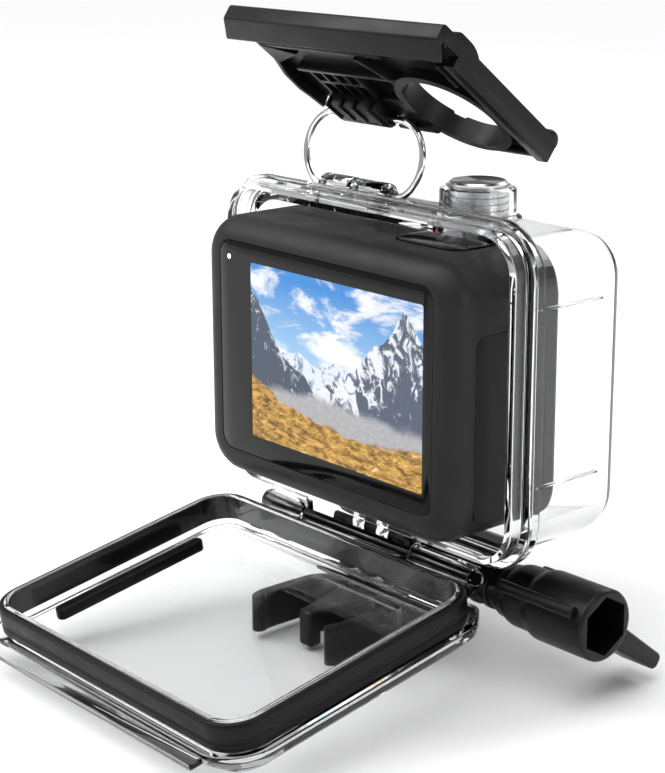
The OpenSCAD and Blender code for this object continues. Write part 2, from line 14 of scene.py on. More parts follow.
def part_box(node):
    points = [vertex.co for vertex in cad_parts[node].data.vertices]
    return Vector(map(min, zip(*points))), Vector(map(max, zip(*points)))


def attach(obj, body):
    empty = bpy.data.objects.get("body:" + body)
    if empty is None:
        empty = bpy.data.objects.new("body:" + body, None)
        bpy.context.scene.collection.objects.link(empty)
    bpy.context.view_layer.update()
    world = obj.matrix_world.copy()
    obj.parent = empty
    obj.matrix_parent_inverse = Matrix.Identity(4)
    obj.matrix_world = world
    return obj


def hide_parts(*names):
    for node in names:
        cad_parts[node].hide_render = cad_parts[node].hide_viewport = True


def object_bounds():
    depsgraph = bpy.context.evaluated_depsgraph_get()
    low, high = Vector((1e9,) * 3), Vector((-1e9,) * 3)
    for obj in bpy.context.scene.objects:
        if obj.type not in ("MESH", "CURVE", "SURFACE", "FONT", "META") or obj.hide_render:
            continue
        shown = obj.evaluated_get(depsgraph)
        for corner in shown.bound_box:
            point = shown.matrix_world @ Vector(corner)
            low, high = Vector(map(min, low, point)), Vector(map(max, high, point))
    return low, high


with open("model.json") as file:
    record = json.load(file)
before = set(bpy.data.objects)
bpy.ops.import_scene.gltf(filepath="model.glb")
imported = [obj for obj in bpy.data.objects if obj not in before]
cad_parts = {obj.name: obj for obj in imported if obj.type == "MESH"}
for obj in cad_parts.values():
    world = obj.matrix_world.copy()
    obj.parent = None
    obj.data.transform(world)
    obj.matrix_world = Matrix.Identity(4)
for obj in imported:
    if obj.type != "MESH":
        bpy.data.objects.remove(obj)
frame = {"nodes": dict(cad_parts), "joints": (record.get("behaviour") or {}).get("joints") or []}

bl_info = {
    "name": "Action camera in a dive housing",
    "version": (1, 0, 0),
    "blender": (4, 5, 0),
    "location": "3D View > Sidebar > Dive housing",
    "description": "Builds the pieces and finishes of an action camera and its clear dive housing",
    "category": "Add Mesh",
}

MM = 0.001
CAD_BOX = [list(corner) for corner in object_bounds()]
JOINTS = {joint["name"]: joint for joint in frame["joints"]}


# ---- Places ----

def node_box(node):
    """A CAD node's lowest and highest corners, in millimetres of the row frame."""
    low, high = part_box(node)
    return low / MM, high / MM


def at_point(x, y, z):
    """A frame of millimetres, turned into metres, with its origin at a point given in millimetres."""
    return Matrix.Scale(MM, 4) @ Matrix.Translation((x, y, z))


def joint_point(name):
    return Vector(JOINTS[name]["pos_m"]) / MM


BODY_LOW, BODY_HIGH = node_box("camera_body")
CAM_REAR = BODY_LOW.y
CAM_MID = (BODY_LOW.z + BODY_HIGH.z) / 2
HINGE = joint_point("door_hinge")
BAIL = joint_point("bail_hinge")
LATCH = joint_point("latch_hinge")
CLAMP = joint_point("buckle_tilt")
DOOR_OPEN = math.radians(-JOINTS["door_hinge"]["range_deg"][0])
LATCH_SLOPE = math.radians(-38)

# Housing: x across, y forward from the camera's back, z up from the camera's middle.
AT_HOUSING = at_point(0, CAM_REAR, CAM_MID)
# Door: as it lies when closed, from the hinge line.
AT_DOOR = at_point(0, HINGE.y, HINGE.z) @ Matrix.Rotation(DOOR_OPEN, 4, "X")
# Latch: y forward from the hook, z up from its top face.
AT_LATCH = at_point(0, LATCH.y, LATCH.z) @ Matrix.Rotation(LATCH_SLOPE, 4, "X") @ Matrix.Translation((0, -25.8, 4.8))
AT_CLAMP = at_point(0, CLAMP.y, CLAMP.z)


# ---- Mesh code ----

# Where a cubic curve's handles lie between its ends and the corner, for a quarter circle
ROUND = 0.5523
# The most of a side that one corner's curve may take, so that two curves never meet
SIDE_SHARE = 0.48
# A radius in millimetres under which a turned point counts as on the axis
ON_AXIS = 1e-6
# Vertices closer than this are joined after a boolean
WELD = 0.001
# How far the ends of a cutting bar are eased
BORE_EDGE = 0.05
# Faces that meet at more than this are shaded with a sharp edge between them
SHARP = math.radians(32)


def soften(points, reach, steps=5, closed=True):
    """The same path with each corner eased into a curve that starts `reach` away from it.

    A point is a tuple of any length, and `reach` is one number or a list with one for each point.
    """
    points = [Vector(p) for p in points]
    count = len(points)
    reaches = reach if isinstance(reach, (list, tuple)) else [reach] * count
    eased = []
    for i, corner in enumerate(points):
        at_end = not closed and i in (0, count - 1)
        if at_end or reaches[i] <= 0:
            eased.append(corner)
            continue
        before, after = points[i - 1] - corner, points[(i + 1) % count] - corner
        into = corner + before * min(reaches[i] / before.length, SIDE_SHARE)
        out = corner + after * min(reaches[i] / after.length, SIDE_SHARE)
        near, far = into.lerp(corner, ROUND), out.lerp(corner, ROUND)
        for k in range(steps + 1):
            t = k / steps
            eased.append(into * (1 - t) ** 3 + near * 3 * t * (1 - t) ** 2 + far * 3 * t * t * (1 - t) + out * t ** 3)
    return eased


def arc(centre_x, centre_y, radius, start, end, steps=16):
    """Points along a round arc, from one angle in degrees to another."""
    turn = [math.radians(start + (end - start) * k / steps) for k in range(steps + 1)]
    return [(centre_x + radius * math.cos(a), centre_y + radius * math.sin(a)) for a in turn]


def circle(radius, segments):
    """Points round a circle."""
    turn = [2 * math.pi * k / segments for k in range(segments)]
    return [(radius * math.cos(a), radius * math.sin(a)) for a in turn]


def round_rect(x0, x1, y0, y1, radius, steps=12):
    """A rectangle with round corners, as a loop of points."""
    radius = max(radius, 0.02)
    corners = ((x1, y0, 1, -1, -90), (x1, y1, 1, 1, 0), (x0, y1, -1, 1, 90), (x0, y0, -1, -1, 180))
    loop = []
    for x, y, sx, sy, start in corners:
        loop += arc(x - sx * radius, y - sy * radius, radius, start, start + 90, steps)
    return loop


def add_loop(bm, loop):
    return [bm.verts.new(p) for p in loop]


def bridge(bm, a, b):
    count = len(a)
    for i in range(count):
        bm.faces.new((a[i], a[(i + 1) % count], b[(i + 1) % count], b[i]))


def loft(rings, closed=False):
    """A part that runs through loops of points in order. It is capped, or closed back on itself."""
    bm = bmesh.new()
    loops = [add_loop(bm, ring) for ring in rings]
    for a, b in zip(loops, loops[1:]):
        bridge(bm, a, b)
    if closed:
        bridge(bm, loops[-1], loops[0])
    else:
        bm.faces.new(list(reversed(loops[0])))
        bm.faces.new(loops[-1])
    bmesh.ops.recalc_face_normals(bm, faces=bm.faces)
    return bm


def case_loft(sections, reach, closed=False, steps=4):
    """A loft of rounded rectangles: each section is (y, half width, low z, high z, corner radius)."""
    rings = []
    for y, half, low, high, radius in soften(sections, reach, steps, closed):
        rings.append([(x, y, z) for x, z in round_rect(-half, half, low, high, radius)])
    return loft(rings, closed)


def lathe(profile, segments=64, axis="Z"):
    """A part turned about an axis from (radius, height) points. A radius of 0 at both ends closes it."""
    bm = bmesh.new()
    rings = []
    for radius, height in profile:
        round_it = circle(radius, segments) if radius > ON_AXIS else [(0, 0)]
        rings.append([bm.verts.new((x, y, height)) for x, y in round_it])
    pairs = list(zip(rings, rings[1:]))
    if len(rings[0]) > 1:
        pairs.append((rings[-1], rings[0]))
    for a, b in pairs:
        for i in range(segments):
            j = (i + 1) % segments
            corners = [a[i % len(a)], a[j % len(a)], b[j % len(b)], b[i % len(b)]]
            corners = [v for k, v in enumerate(corners) if v not in corners[:k]]
            if len(corners) > 2:
                bm.faces.new(corners)
    lay = {"X": Matrix.Rotation(math.pi / 2, 4, "Y"), "Y": Matrix.Rotation(-math.pi / 2, 4, "X")}
    if axis in lay:
        bm.transform(lay[axis])
    bmesh.ops.recalc_face_normals(bm, faces=bm.faces)
    return bm


def bevel_edges(bm, edges, bevel, steps):
    bmesh.ops.bevel(bm, geom=edges, offset=bevel, segments=steps, profile=0.5, affect="EDGES", clamp_overlap=True)


def prism(outline, low, high, axis="Z", bevel=0.3, steps=2):
    """A flat outline given thickness along an axis, with its outer edges rounded over.

    The outline is (x, y) along Z, (y, z) along X and (x, z) along Y.
    """
    bm = bmesh.new()
    place = {"Z": lambda a, b, c: (a, b, c), "X": lambda a, b, c: (c, a, b), "Y": lambda a, b, c: (a, c, b)}[axis]
    loops = [add_loop(bm, [place(a, b, c) for a, b in outline]) for c in (low, high)]
    bridge(bm, loops[0], loops[1])
    caps = [bm.faces.new(loops[0]), bm.faces.new(loops[1])]
    bmesh.ops.recalc_face_normals(bm, faces=bm.faces)
    if bevel > 0:
        rims = list(dict.fromkeys(edge for cap in caps for edge in cap.edges))
        bevel_edges(bm, rims, bevel, steps)
    return bm


def block(x, y, z, bevel=0.3, steps=2):
    """A box with all its edges rounded over, from its ranges."""
    bm = bmesh.new()
    corners = [(a, b, c) for c in z for b in y for a in x]
    verts = [bm.verts.new(p) for p in corners]
    for face in ((0, 2, 3, 1), (4, 5, 7, 6), (0, 1, 5, 4), (2, 6, 7, 3), (0, 4, 6, 2), (1, 3, 7, 5)):
        bm.faces.new([verts[i] for i in face])
    if bevel > 0:
        bevel_edges(bm, list(bm.edges), bevel, steps)
    return bm


def rod(start, end, radius, axis="Z", bevel=0.2, segments=48):
    """A round bar along an axis with softened ends."""
    b = min(bevel, radius * 0.6, (end - start) * 0.4)
    profile = [(0, start), (radius - b, start), (radius - b * 0.3, start + b * 0.3), (radius, start + b),
               (radius, end - b), (radius - b * 0.3, end - b * 0.3), (radius - b, end), (0, end)]
    return lathe(profile, segments, axis)


def bore(start, end, radius, axis="Z", segments=48):
    """A round bar to cut a hole with."""
    return rod(start, end, radius, axis, BORE_EDGE, segments)


def moved(bm, x=0, y=0, z=0):
    bm.transform(Matrix.Translation((x, y, z)))
    return bm


def turned(bm, degrees, axis="X"):
    bm.transform(Matrix.Rotation(math.radians(degrees), 4, axis))
    return bm


def sweep(path, radius, segments=20, closed=True, side=(0, 1, 0)):
    """A round wire along a path of points, which runs roughly across the side direction."""
    path = [Vector(p) for p in path]
    side = Vector(side)
    last = len(path) - 1
    rings = []
    for i, point in enumerate(path):
        before = path[i - 1] if closed or i else point
        after = path[(i + 1) % len(path)] if closed or i < last else point
        along = (after - before).normalized()
        out = side.cross(along).normalized()
        rings.append([point + (side * a + out * b) * radius for a, b in circle(1, segments)])
    return loft(rings, closed)


def to_object(bm, name):
    mesh = bpy.data.meshes.new(name)
    bm.to_mesh(mesh)
    bm.free()
    obj = bpy.data.objects.new(name, mesh)
    bpy.context.scene.collection.objects.link(obj)
    return obj


def fuse(parts, cuts):
    """Joins parts into one closed skin, then takes the cuts away, and gives the result as a mesh part."""
    base = to_object(parts[0], "fused")
    tools = [(to_object(part, "added"), "UNION") for part in parts[1:]]
    tools += [(to_object(cut, "cut"), "DIFFERENCE") for cut in cuts]
    for tool, operation in tools:
        step = base.modifiers.new(operation, "BOOLEAN")
        step.object = tool
        step.operation = operation
        step.solver = "EXACT"
    bpy.context.view_layer.update()
    shaped = bpy.data.meshes.new_from_object(base.evaluated_get(bpy.context.evaluated_depsgraph_get()))
    result = bmesh.new()
    result.from_mesh(shaped)
    bmesh.ops.remove_doubles(result, verts=result.verts, dist=WELD)
    bpy.data.meshes.remove(shaped)
    for obj in [base] + [tool for tool, _ in tools]:
        bpy.data.meshes.remove(obj.data)
    return result


def together(parts):
    """Parts that don't touch, as one part."""
    first = parts[0]
    for part in parts[1:]:
        mesh = bpy.data.meshes.new("added")
        part.to_mesh(mesh)
        part.free()
        first.from_mesh(mesh)
        bpy.data.meshes.remove(mesh)
    return first


def finish_piece(name, bm, at, body, finish, node):
    """Makes a piece from a part: puts it in its place, shades it, gives it its finish, hangs it on its body and hides
    the CAD node that it stands for.
    """
    bm.transform(at)
    obj = to_object(bm, name)
    for face in obj.data.polygons:
        face.use_smooth = True
    obj.data.set_sharp_from_angle(angle=SHARP)
    obj.data.materials.append(finish_of(finish))
    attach(obj, body)
    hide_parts(node)


def dress(finish, *nodes):
    """Gives CAD nodes their finish."""
    for node in nodes:
        materials = frame["nodes"][node].data.materials
        materials.clear()
        materials.append(finish_of(finish))


# ---- Material code ----

NOISE_RANGE = (0.3, 0.7)


class Finish:
    """A node material, built up a step at a time."""

    def __init__(self, name):
        self.material = bpy.data.materials.new(name)
        self.material.use_nodes = True
        self.tree = self.material.node_tree
        self.shader = self.tree.nodes["Principled BSDF"]
        self.place = self.tree.nodes.new("ShaderNodeTexCoord").outputs["Object"]

    def feed(self, socket, value):
        if hasattr(value, "links"):
            self.tree.links.new(value, socket)
        elif isinstance(value, tuple) and len(value) == 3 and socket.type == "RGBA":
            socket.default_value = (*value, 1)
        else:
            socket.default_value = value

    def sockets(self, **values):
        """Sets or links sockets of the shader, named in lower case with _ for a space."""
        for key, value in values.items():
            self.feed(self.shader.inputs[key.replace("_", " ").title().replace("Ior", "IOR")], value)

    def fed(self, kind, *values):
        """A new node with its first inputs fed in order."""
        node = self.tree.nodes.new("ShaderNode" + kind)
        for socket, value in zip(node.inputs, values):
            self.feed(socket, value)
        return node

    def calc(self, operation, a, b=0.0):
        node = self.fed("Math", a, b)
        node.operation = operation
        return node.outputs[0]

    def smooth(self, value, low, high):
        """0 below low, 1 above high, and a smooth step between."""
        node = self.fed("MapRange", value, low, high)
        node.interpolation_type = "SMOOTHSTEP"
        return node.outputs["Result"]

    def spread(self, value, low, high, to_low, to_high):
        """A value's range from low to high, laid over another range."""
        return self.fed("MapRange", value, low, high, to_low, to_high).outputs["Result"]

    def vary(self, noise, low, high):
        """Low to high, over the range that a noise mostly keeps to."""
        return self.spread(noise, *NOISE_RANGE, low, high)

    def split(self, vector):
        return self.fed("SeparateXYZ", vector).outputs

    def join(self, x=0.0, y=0.0, z=0.0):
        return self.fed("CombineXYZ", x, y, z).outputs[0]

    def stretch(self, vector, scale):
        node = self.fed("VectorMath", vector)
        node.operation = "MULTIPLY"
        node.inputs[1].default_value = scale
        return node.outputs[0]

    def noise(self, scale, detail=3.0, roughness=0.5, vector=None, distortion=0.0):
        node = self.tree.nodes.new("ShaderNodeTexNoise")
        self.feed(node.inputs["Vector"], self.place if vector is None else vector)
        for socket, value in (("Scale", scale), ("Detail", detail), ("Roughness", roughness),
                              ("Distortion", distortion)):
            node.inputs[socket].default_value = value
        return node.outputs["Fac"]

    def ramp(self, value, stops):
        """Colours or greys along a value, from (place, colour) stops."""
        node = self.fed("ValToRGB", value)
        marks = node.color_ramp.elements
        while len(marks) < len(stops):
            marks.new(0.5)
        for mark, (where, colour) in zip(marks, stops):
            mark.position = where
            mark.color = (*colour, 1) if isinstance(colour, tuple) else (colour, colour, colour, 1)
        return node.outputs[0]

    def mix(self, share, a, b):
        node = self.tree.nodes.new("ShaderNodeMix")
        node.data_type = "RGBA"
        self.feed(node.inputs["Factor"], share)
        self.feed(node.inputs[6], a)
        self.feed(node.inputs[7], b)
        return node.outputs[2]

    def bump(self, height, strength, distance):
        node = self.tree.nodes.new("ShaderNodeBump")
        node.inputs["Strength"].default_value = strength
        node.inputs["Distance"].default_value = distance
        self.feed(node.inputs["Height"], height)
        self.feed(self.shader.inputs["Normal"], node.outputs[0])
        return self


def moulded(name, dark, light, rough_low, rough_high, grain=0.12, grain_scale=9000, sheen=0.24):
    """A moulded plastic: colour that drifts a little, a fine spark-eroded grain, and worn patches of gloss."""
    finish = Finish(name)
    drift = finish.noise(60, 3, 0.6)
    grain_map = finish.noise(grain_scale, 2, 0.6)
    finish.sockets(base_color=finish.mix(drift, dark, light), specular_ior_level=sheen,
                   roughness=finish.vary(finish.noise(180, 4, 0.6), rough_low, rough_high))
    return finish.bump(grain_map, grain, 0.00002).material


def clear_plastic(name, tint, roughness=0.02, ripple=0.08):
    """Polished polycarbonate: fully clear, with the faint flow ripple of a moulding."""
    finish = Finish(name)
    cloud = finish.noise(25, 2, 0.5)
    finish.sockets(base_color=finish.mix(cloud, tint, (1.0, 1.0, 1.0)),
                   roughness=finish.vary(finish.noise(90, 3, 0.6), roughness * 0.5, roughness * 1.5),
                   transmission_weight=1.0, ior=1.38)
    return finish.bump(finish.noise(70, 2, 0.5), ripple, 0.0002).material


def metal(name, dark, light, rough_low, rough_high, streaks=(1, 1, 40), scale=900):
    """Worked metal with fine streaks along its grain."""
    finish = Finish(name)
    lines = finish.noise(scale, 3, 0.6, finish.stretch(finish.place, streaks))
    finish.sockets(base_color=finish.mix(lines, dark, light),
                   roughness=finish.vary(lines, rough_low, rough_high),
                   metallic=1.0)
    return finish.bump(lines, 0.06, 0.00003).material


def turned_steel():
    """Steel faced on a lathe: fine rings about the shutter plunger's axis, and a painted highlight on the top face: the
    fan of light that the rings give, painted into its colour as bright and dark wedges.
    """
    finish = Finish("turned_steel")
    x, y, _ = finish.split(finish.place)
    dx = finish.calc("SUBTRACT", x, TURRET_X * MM)
    dy = finish.calc("SUBTRACT", y, (CAM_REAR + TURRET_Y) * MM)
    radius = finish.calc("SQRT", finish.calc("ADD", finish.calc("POWER", dx, 2), finish.calc("POWER", dy, 2)))
    rings = finish.noise(5200, 3, 0.7, finish.join(radius))
    # Painted highlight and painted shade: two waves round the axis, a main one with two lobes, and a weaker one with
    # five, lay bright and dark wedges into the top face's colour
    angle = finish.calc("ARCTAN2", dy, dx)
    painted_lobes = finish.calc("SINE", finish.calc("ADD", finish.calc("MULTIPLY", angle, 2.0), 0.9))
    streaks = finish.calc("MULTIPLY", finish.calc("SINE", finish.calc("MULTIPLY", angle, 5.0)), 0.35)
    painted_fan = finish.smooth(finish.calc("ADD", painted_lobes, streaks), 0.1, 1.1)
    upward = finish.split(finish.fed("NewGeometry").outputs["Normal"])[2]
    # The top face's colour runs from near black to near white along the painted fan: painted highlight and painted
    # shade, not the steel's own colour
    top = finish.mix(painted_fan, (0.02, 0.02, 0.022), (0.85, 0.85, 0.86))
    side = finish.mix(rings, (0.42, 0.42, 0.43), (0.72, 0.72, 0.73))
    finish.sockets(base_color=finish.mix(finish.smooth(upward, 0.8, 0.98), side, top),
                   roughness=finish.vary(rings, 0.16, 0.28), metallic=1.0, anisotropic=0.6)
    tangent = finish.fed("Tangent")
    tangent.direction_type = "RADIAL"
    tangent.axis = "Z"
    finish.feed(finish.shader.inputs["Tangent"], tangent.outputs[0])
    return finish.bump(rings, 0.1, 0.00002).material


# ---- Sizes and colours that a user would change ----

class CaseSettings(bpy.types.PropertyGroup):
    """The clear housing."""
    tint: bpy.props.FloatVectorProperty(
        name="Tint", description="Colour of the clear plastic", subtype="COLOR", size=3,
        default=(0.965, 0.975, 0.975))
    edge: bpy.props.FloatProperty(
        name="Edge", description="How far the case's outside edges are eased, in millimetres", default=0.5, min=0.1,
        max=0.6)
    front_edge: bpy.props.FloatProperty(
        name="Front edge", description="Rounding of the case's front edge, in millimetres", default=7.5, min=1, max=7.5)


class CameraSettings(bpy.types.PropertyGroup):
    """The camera's body and display."""
    shell: bpy.props.FloatVectorProperty(
        name="Shell", description="Colour of the soft-touch body", subtype="COLOR", size=3,
        default=(0.0125, 0.0125, 0.0135))
    brightness: bpy.props.FloatProperty(
        name="Display brightness", description="Light given by the display", default=1.0, min=0, max=4)
    sky: bpy.props.FloatVectorProperty(
        name="Sky", description="Colour of the sky in the display's picture", subtype="COLOR", size=3,
        default=(0.05, 0.28, 0.72))
    grass: bpy.props.FloatVectorProperty(
        name="Grass", description="Colour of the grass in the display's picture", subtype="COLOR", size=3,
        default=(0.62, 0.33, 0.06))


class FittingSettings(bpy.types.PropertyGroup):
    """The black fittings and the steel parts."""
    plastic: bpy.props.FloatVectorProperty(
        name="Plastic", description="Colour of the latch, buckle and thumb screw", subtype="COLOR", size=3,
        default=(0.003, 0.003, 0.0033))
    wire: bpy.props.FloatProperty(
        name="Wire radius", description="Radius of the bail's wire, in millimetres", default=0.65, min=0.4, max=0.65)


class StageSettings(bpy.types.PropertyGroup):
    """The light and the camera."""
    lens: bpy.props.FloatProperty(
        name="Lens", description="Focal length of the viewing camera, in millimetres on a 36 mm sensor", default=89.258,
        min=20, max=200)
    light: bpy.props.FloatProperty(
        name="Overhead light", description="Strength of the broad light from above", default=2.55, min=0, max=10)
    boxes: bpy.props.FloatProperty(
        name="Soft boxes", description="Power of the soft boxes, in watts", default=1.7, min=0, max=20)
    room: bpy.props.FloatProperty(
        name="Room light", description="Strength of the light from all round", default=0.45, min=0, max=2)
    backdrop: bpy.props.FloatVectorProperty(
        name="Backdrop", description="Colour of the floor and the room", subtype="COLOR", size=3,
        default=(0.9, 0.9, 0.905))


SETTINGS = {"dive_case": CaseSettings, "dive_camera": CameraSettings, "dive_fittings": FittingSettings,
            "dive_stage": StageSettings}


def settings(name):
    return getattr(bpy.context.scene, name)


# ---- Finishes ----

FINISHES = {}


def finish_of(name):
    """The material of that name, made the first time that it is asked for."""
    if name not in FINISHES:
        FINISHES[name] = RECIPES[name]()
    return FINISHES[name]


def darker(colour, share):
    return tuple(c * share for c in colour)


def clear_case():
    return clear_plastic("clear_case", tuple(settings("dive_case").tint))


def black_plastic():
    colour = tuple(settings("dive_fittings").plastic)
    return moulded("black_plastic", darker(colour, 0.7), darker(colour, 1.5), 0.3, 0.44)


def camera_shell():
    colour = tuple(settings("dive_camera").shell)
    return moulded("camera_shell", darker(colour, 0.85), darker(colour, 1.2), 0.42, 0.52, 0.2, 7000)


def gloss_black():
    finish = Finish("gloss_black")
    smears = finish.noise(220, 5, 0.65)
    finish.sockets(base_color=finish.mix(smears, (0.002, 0.002, 0.002), (0.005, 0.005, 0.005)), specular_ior_level=0.25,
                   roughness=finish.spread(smears, 0.35, 0.75, 0.06, 0.14))
    return finish.bump(finish.noise(120, 2), 0.02, 0.0001).material


def rubber():
    return moulded("rubber", (0.0015, 0.0015, 0.0015), (0.0035, 0.0035, 0.0035), 0.3, 0.46, 0.1, 5000, sheen=0.2)


def brushed_steel():
    return metal("brushed_steel", (0.45, 0.45, 0.46), (0.68, 0.68, 0.69), 0.2, 0.34)


def dark_pin():
    return metal("dark_pin", (0.012, 0.012, 0.013), (0.03, 0.03, 0.032), 0.3, 0.45)


def chrome_wire():
    return metal("chrome_wire", (0.72, 0.73, 0.74), (0.86, 0.87, 0.88), 0.05, 0.12, (1, 1, 1), 1500)


def lens_glass():
    return clear_plastic("lens_glass", (0.35, 0.4, 0.6), 0.015, 0.01)


def contacts():
    return metal("contacts", (0.7, 0.48, 0.16), (0.9, 0.68, 0.3), 0.2, 0.35)


def circuit():
    """Green solder mask with copper tracks under it."""
    finish = Finish("circuit")
    across, _, up = finish.split(finish.place)
    tracks = finish.fed("TexBrick", finish.join(across, up))
    tracks.inputs["Scale"].default_value = 260
    tracks.inputs["Color1"].default_value = (0.012, 0.09, 0.04, 1)
    tracks.inputs["Color2"].default_value = (0.016, 0.12, 0.05, 1)
    tracks.inputs["Mortar"].default_value = (0.04, 0.2, 0.09, 1)
    finish.sockets(base_color=tracks.outputs["Color"], roughness=finish.vary(finish.noise(400), 0.25, 0.4))
    return finish.bump(tracks.outputs["Fac"], 0.2, 0.00004).material


def cell():
    return moulded("cell", (0.02, 0.02, 0.025), (0.05, 0.05, 0.06), 0.25, 0.4, 0.05, 3000)


def lamp(name, colour, strength):
    finish = Finish(name)
    glow = finish.noise(4000, 2, 0.5)
    finish.sockets(base_color=finish.mix(glow, darker(colour, 0.9), colour),
                   emission_color=finish.mix(glow, darker(colour, 0.85), colour),
                   emission_strength=strength, roughness=0.3)
    return finish.material


def status_white():
    return lamp("status_white", (1.0, 0.93, 0.82), 1.6)


def red_mark():
    return lamp("red_mark", (0.5, 0.015, 0.015), 0.25)


def screen():
    """A lit display that shows mountains, a valley and dry grass, all drawn from noise."""
    look = settings("dive_camera")
    low, high = node_box("screen_panel")
    finish = Finish("screen")
    x, _, z = finish.split(finish.place)
    across = finish.spread(x, low.x * MM, high.x * MM, 0, 1)
    up = finish.spread(z, low.z * MM, high.z * MM, 0, 1)
    flat = finish.join(across, up)
    fine = finish.noise(42, 6, 0.7, flat)
    # Sky and clouds
    clouds = finish.noise(3.4, 7, 0.62, finish.stretch(flat, (0.8, 1.5, 1)), 0.5)
    blue = finish.ramp(up, [(0.45, (0.45, 0.7, 0.95)), (0.95, tuple(look.sky))])
    picture = finish.mix(finish.smooth(clouds, 0.46, 0.6), blue, (0.97, 0.98, 1.0))

    def depth_under(line, edge, rough):
        """How far the picture's height lies under a line that an edge noise roughens."""
        height = finish.calc("ADD", finish.ramp(across, line), finish.spread(edge, 0, 1, -rough, rough))
        return finish.calc("SUBTRACT", height, up)

    # Each range is a height along the picture, roughened, with its own rock, scree and snow
    ranges = (
        ([(0, 0.5), (0.3, 0.56), (0.42, 0.5), (0.52, 0.57), (0.66, 0.49), (1, 0.5)], 0.03, 9,
         (0.3, 0.42, 0.6), (0.82, 0.88, 0.95), 0.42),
        ([(0, 0.86), (0.05, 0.8), (0.13, 0.62), (0.2, 0.52), (0.34, 0.42), (0.44, 0.3), (1, 0.1)], 0.06, 7,
         (0.1, 0.13, 0.2), (0.62, 0.7, 0.82), 0.56),
        ([(0, 0.1), (0.33, 0.3), (0.5, 0.46), (0.62, 0.55), (0.74, 0.72), (0.83, 0.8), (0.9, 0.93), (1, 0.78)], 0.07, 6,
         (0.13, 0.16, 0.24), (0.88, 0.92, 0.98), 0.47),
    )
    for line, rough, scale, rock, snow, cover in ranges:
        below = depth_under(line, finish.noise(scale, 5, 0.6, finish.join(across, 0.0, float(scale))), rough)
        streaks = finish.noise(scale * 1.6, 7, 0.68, finish.stretch(flat, (1.6, 0.8, 1)), 1.4)
        height_snow = finish.calc("ADD", streaks, finish.calc("MULTIPLY", below, -0.35))
        white = finish.smooth(height_snow, cover - 0.05, cover + 0.05)
        shade = finish.mix(fine, darker(rock, 0.5), rock)
        picture = finish.mix(finish.smooth(below, -0.006, 0.006), picture, finish.mix(white, shade, snow))
    # The valley floor, then dry grass with stones
    valley = depth_under([(0, 0.3), (0.4, 0.34), (1, 0.3)], finish.noise(9, 4, 0.5, flat), 0.04)
    scree = finish.mix(fine, (0.3, 0.26, 0.24), (0.62, 0.66, 0.72))
    picture = finish.mix(finish.smooth(valley, -0.03, 0.03), picture, scree)
    near = depth_under([(0, 0.36), (0.22, 0.24), (0.6, 0.17), (1, 0.22)], finish.noise(14, 5, 0.6, flat), 0.05)
    tufts = finish.noise(17, 8, 0.78, finish.stretch(flat, (1, 1.9, 1)), 0.6)
    grass = finish.ramp(tufts, [(0.34, (0.03, 0.015, 0.006)), (0.45, darker(tuple(look.grass), 0.45)),
                                (0.53, tuple(look.grass)), (0.6, (0.8, 0.5, 0.12)), (0.7, (0.98, 0.92, 0.75))])
    picture = finish.mix(finish.smooth(near, -0.012, 0.012), picture, grass)
    finish.sockets(base_color=(0.01, 0.01, 0.01), emission_color=picture, emission_strength=look.brightness,
                   specular_ior_level=0.2, roughness=finish.vary(fine, 0.08, 0.12))
    return finish.material


RECIPES = {recipe.__name__: recipe for recipe in (
    clear_case, black_plastic, camera_shell, gloss_black, rubber, brushed_steel, turned_steel, dark_pin, chrome_wire,
    lens_glass, contacts, circuit, cell, status_white, red_mark, screen)}


# ---- The clear housing ----
# A shape of the case is (half width, low z, high z, corner radius).

CASE_BODY = (38.8, -27.4, 26.6, 8.1)
CASE_STEP = (38.9, -28.6, 28.9, 8.2)
CASE_COLLAR = (37.7, -28.6, 28.9, 8.1)
CASE_FLANGE = (39.5, -29.8, 30.1, 9.6)
CASE_MOUTH = (36.1, -27.4, 27.7, 6.2)
CASE_CAVITY = (36.0, -24.8, 25.1, 6.1)
CASE_FRONT = 36.2
CASE_REAR = 9.6
STEP_Y = 15.2
FLANGE_FRONT, FLANGE_REAR = 14.6, 12
MOUTH_END = 15
FRONT_WALL = 2.2
GUIDE_X = 35.6
LENS_X, LENS_Z = -17.5, 6.5
PORT_R = 13.4
PORT_FRONT = 40.4
TURRET_X, TURRET_Y = 12.8, 25.6
PORT_SCREW_RING = 16.5
SIDE_BUTTON_Y = 25.6
HINGE_Y, HINGE_Z = HINGE.y - CAM_REAR, HINGE.z - CAM_MID
KNUCKLE_R = 2.2
FINGER_PITCH = 3.15
FINGER_HALF = 1.5
FINGER_R = 7.0
SCREW_R = 2.46


def at_lens(bm):
    return moved(bm, LENS_X, 0, LENS_Z)


def at_turret(bm):
    return moved(bm, TURRET_X, TURRET_Y)


def at_screw(bm):
    return moved(bm, 0, CLAMP.y - CAM_REAR, CLAMP.z - CAM_MID)


def section(y, shape, inset=0.0):
    """A loft's section at y, with a shape drawn in by an inset."""
    half, low, high, radius = shape
    return (y, half - inset, low + inset, high - inset, max(radius - inset, 0.5))


def skin(path):
    """A wall that runs through sections: each is (y, shape, inset, how far the corner there is eased)."""
    return case_loft([section(*stop[:3]) for stop in path], [stop[3] for stop in path])


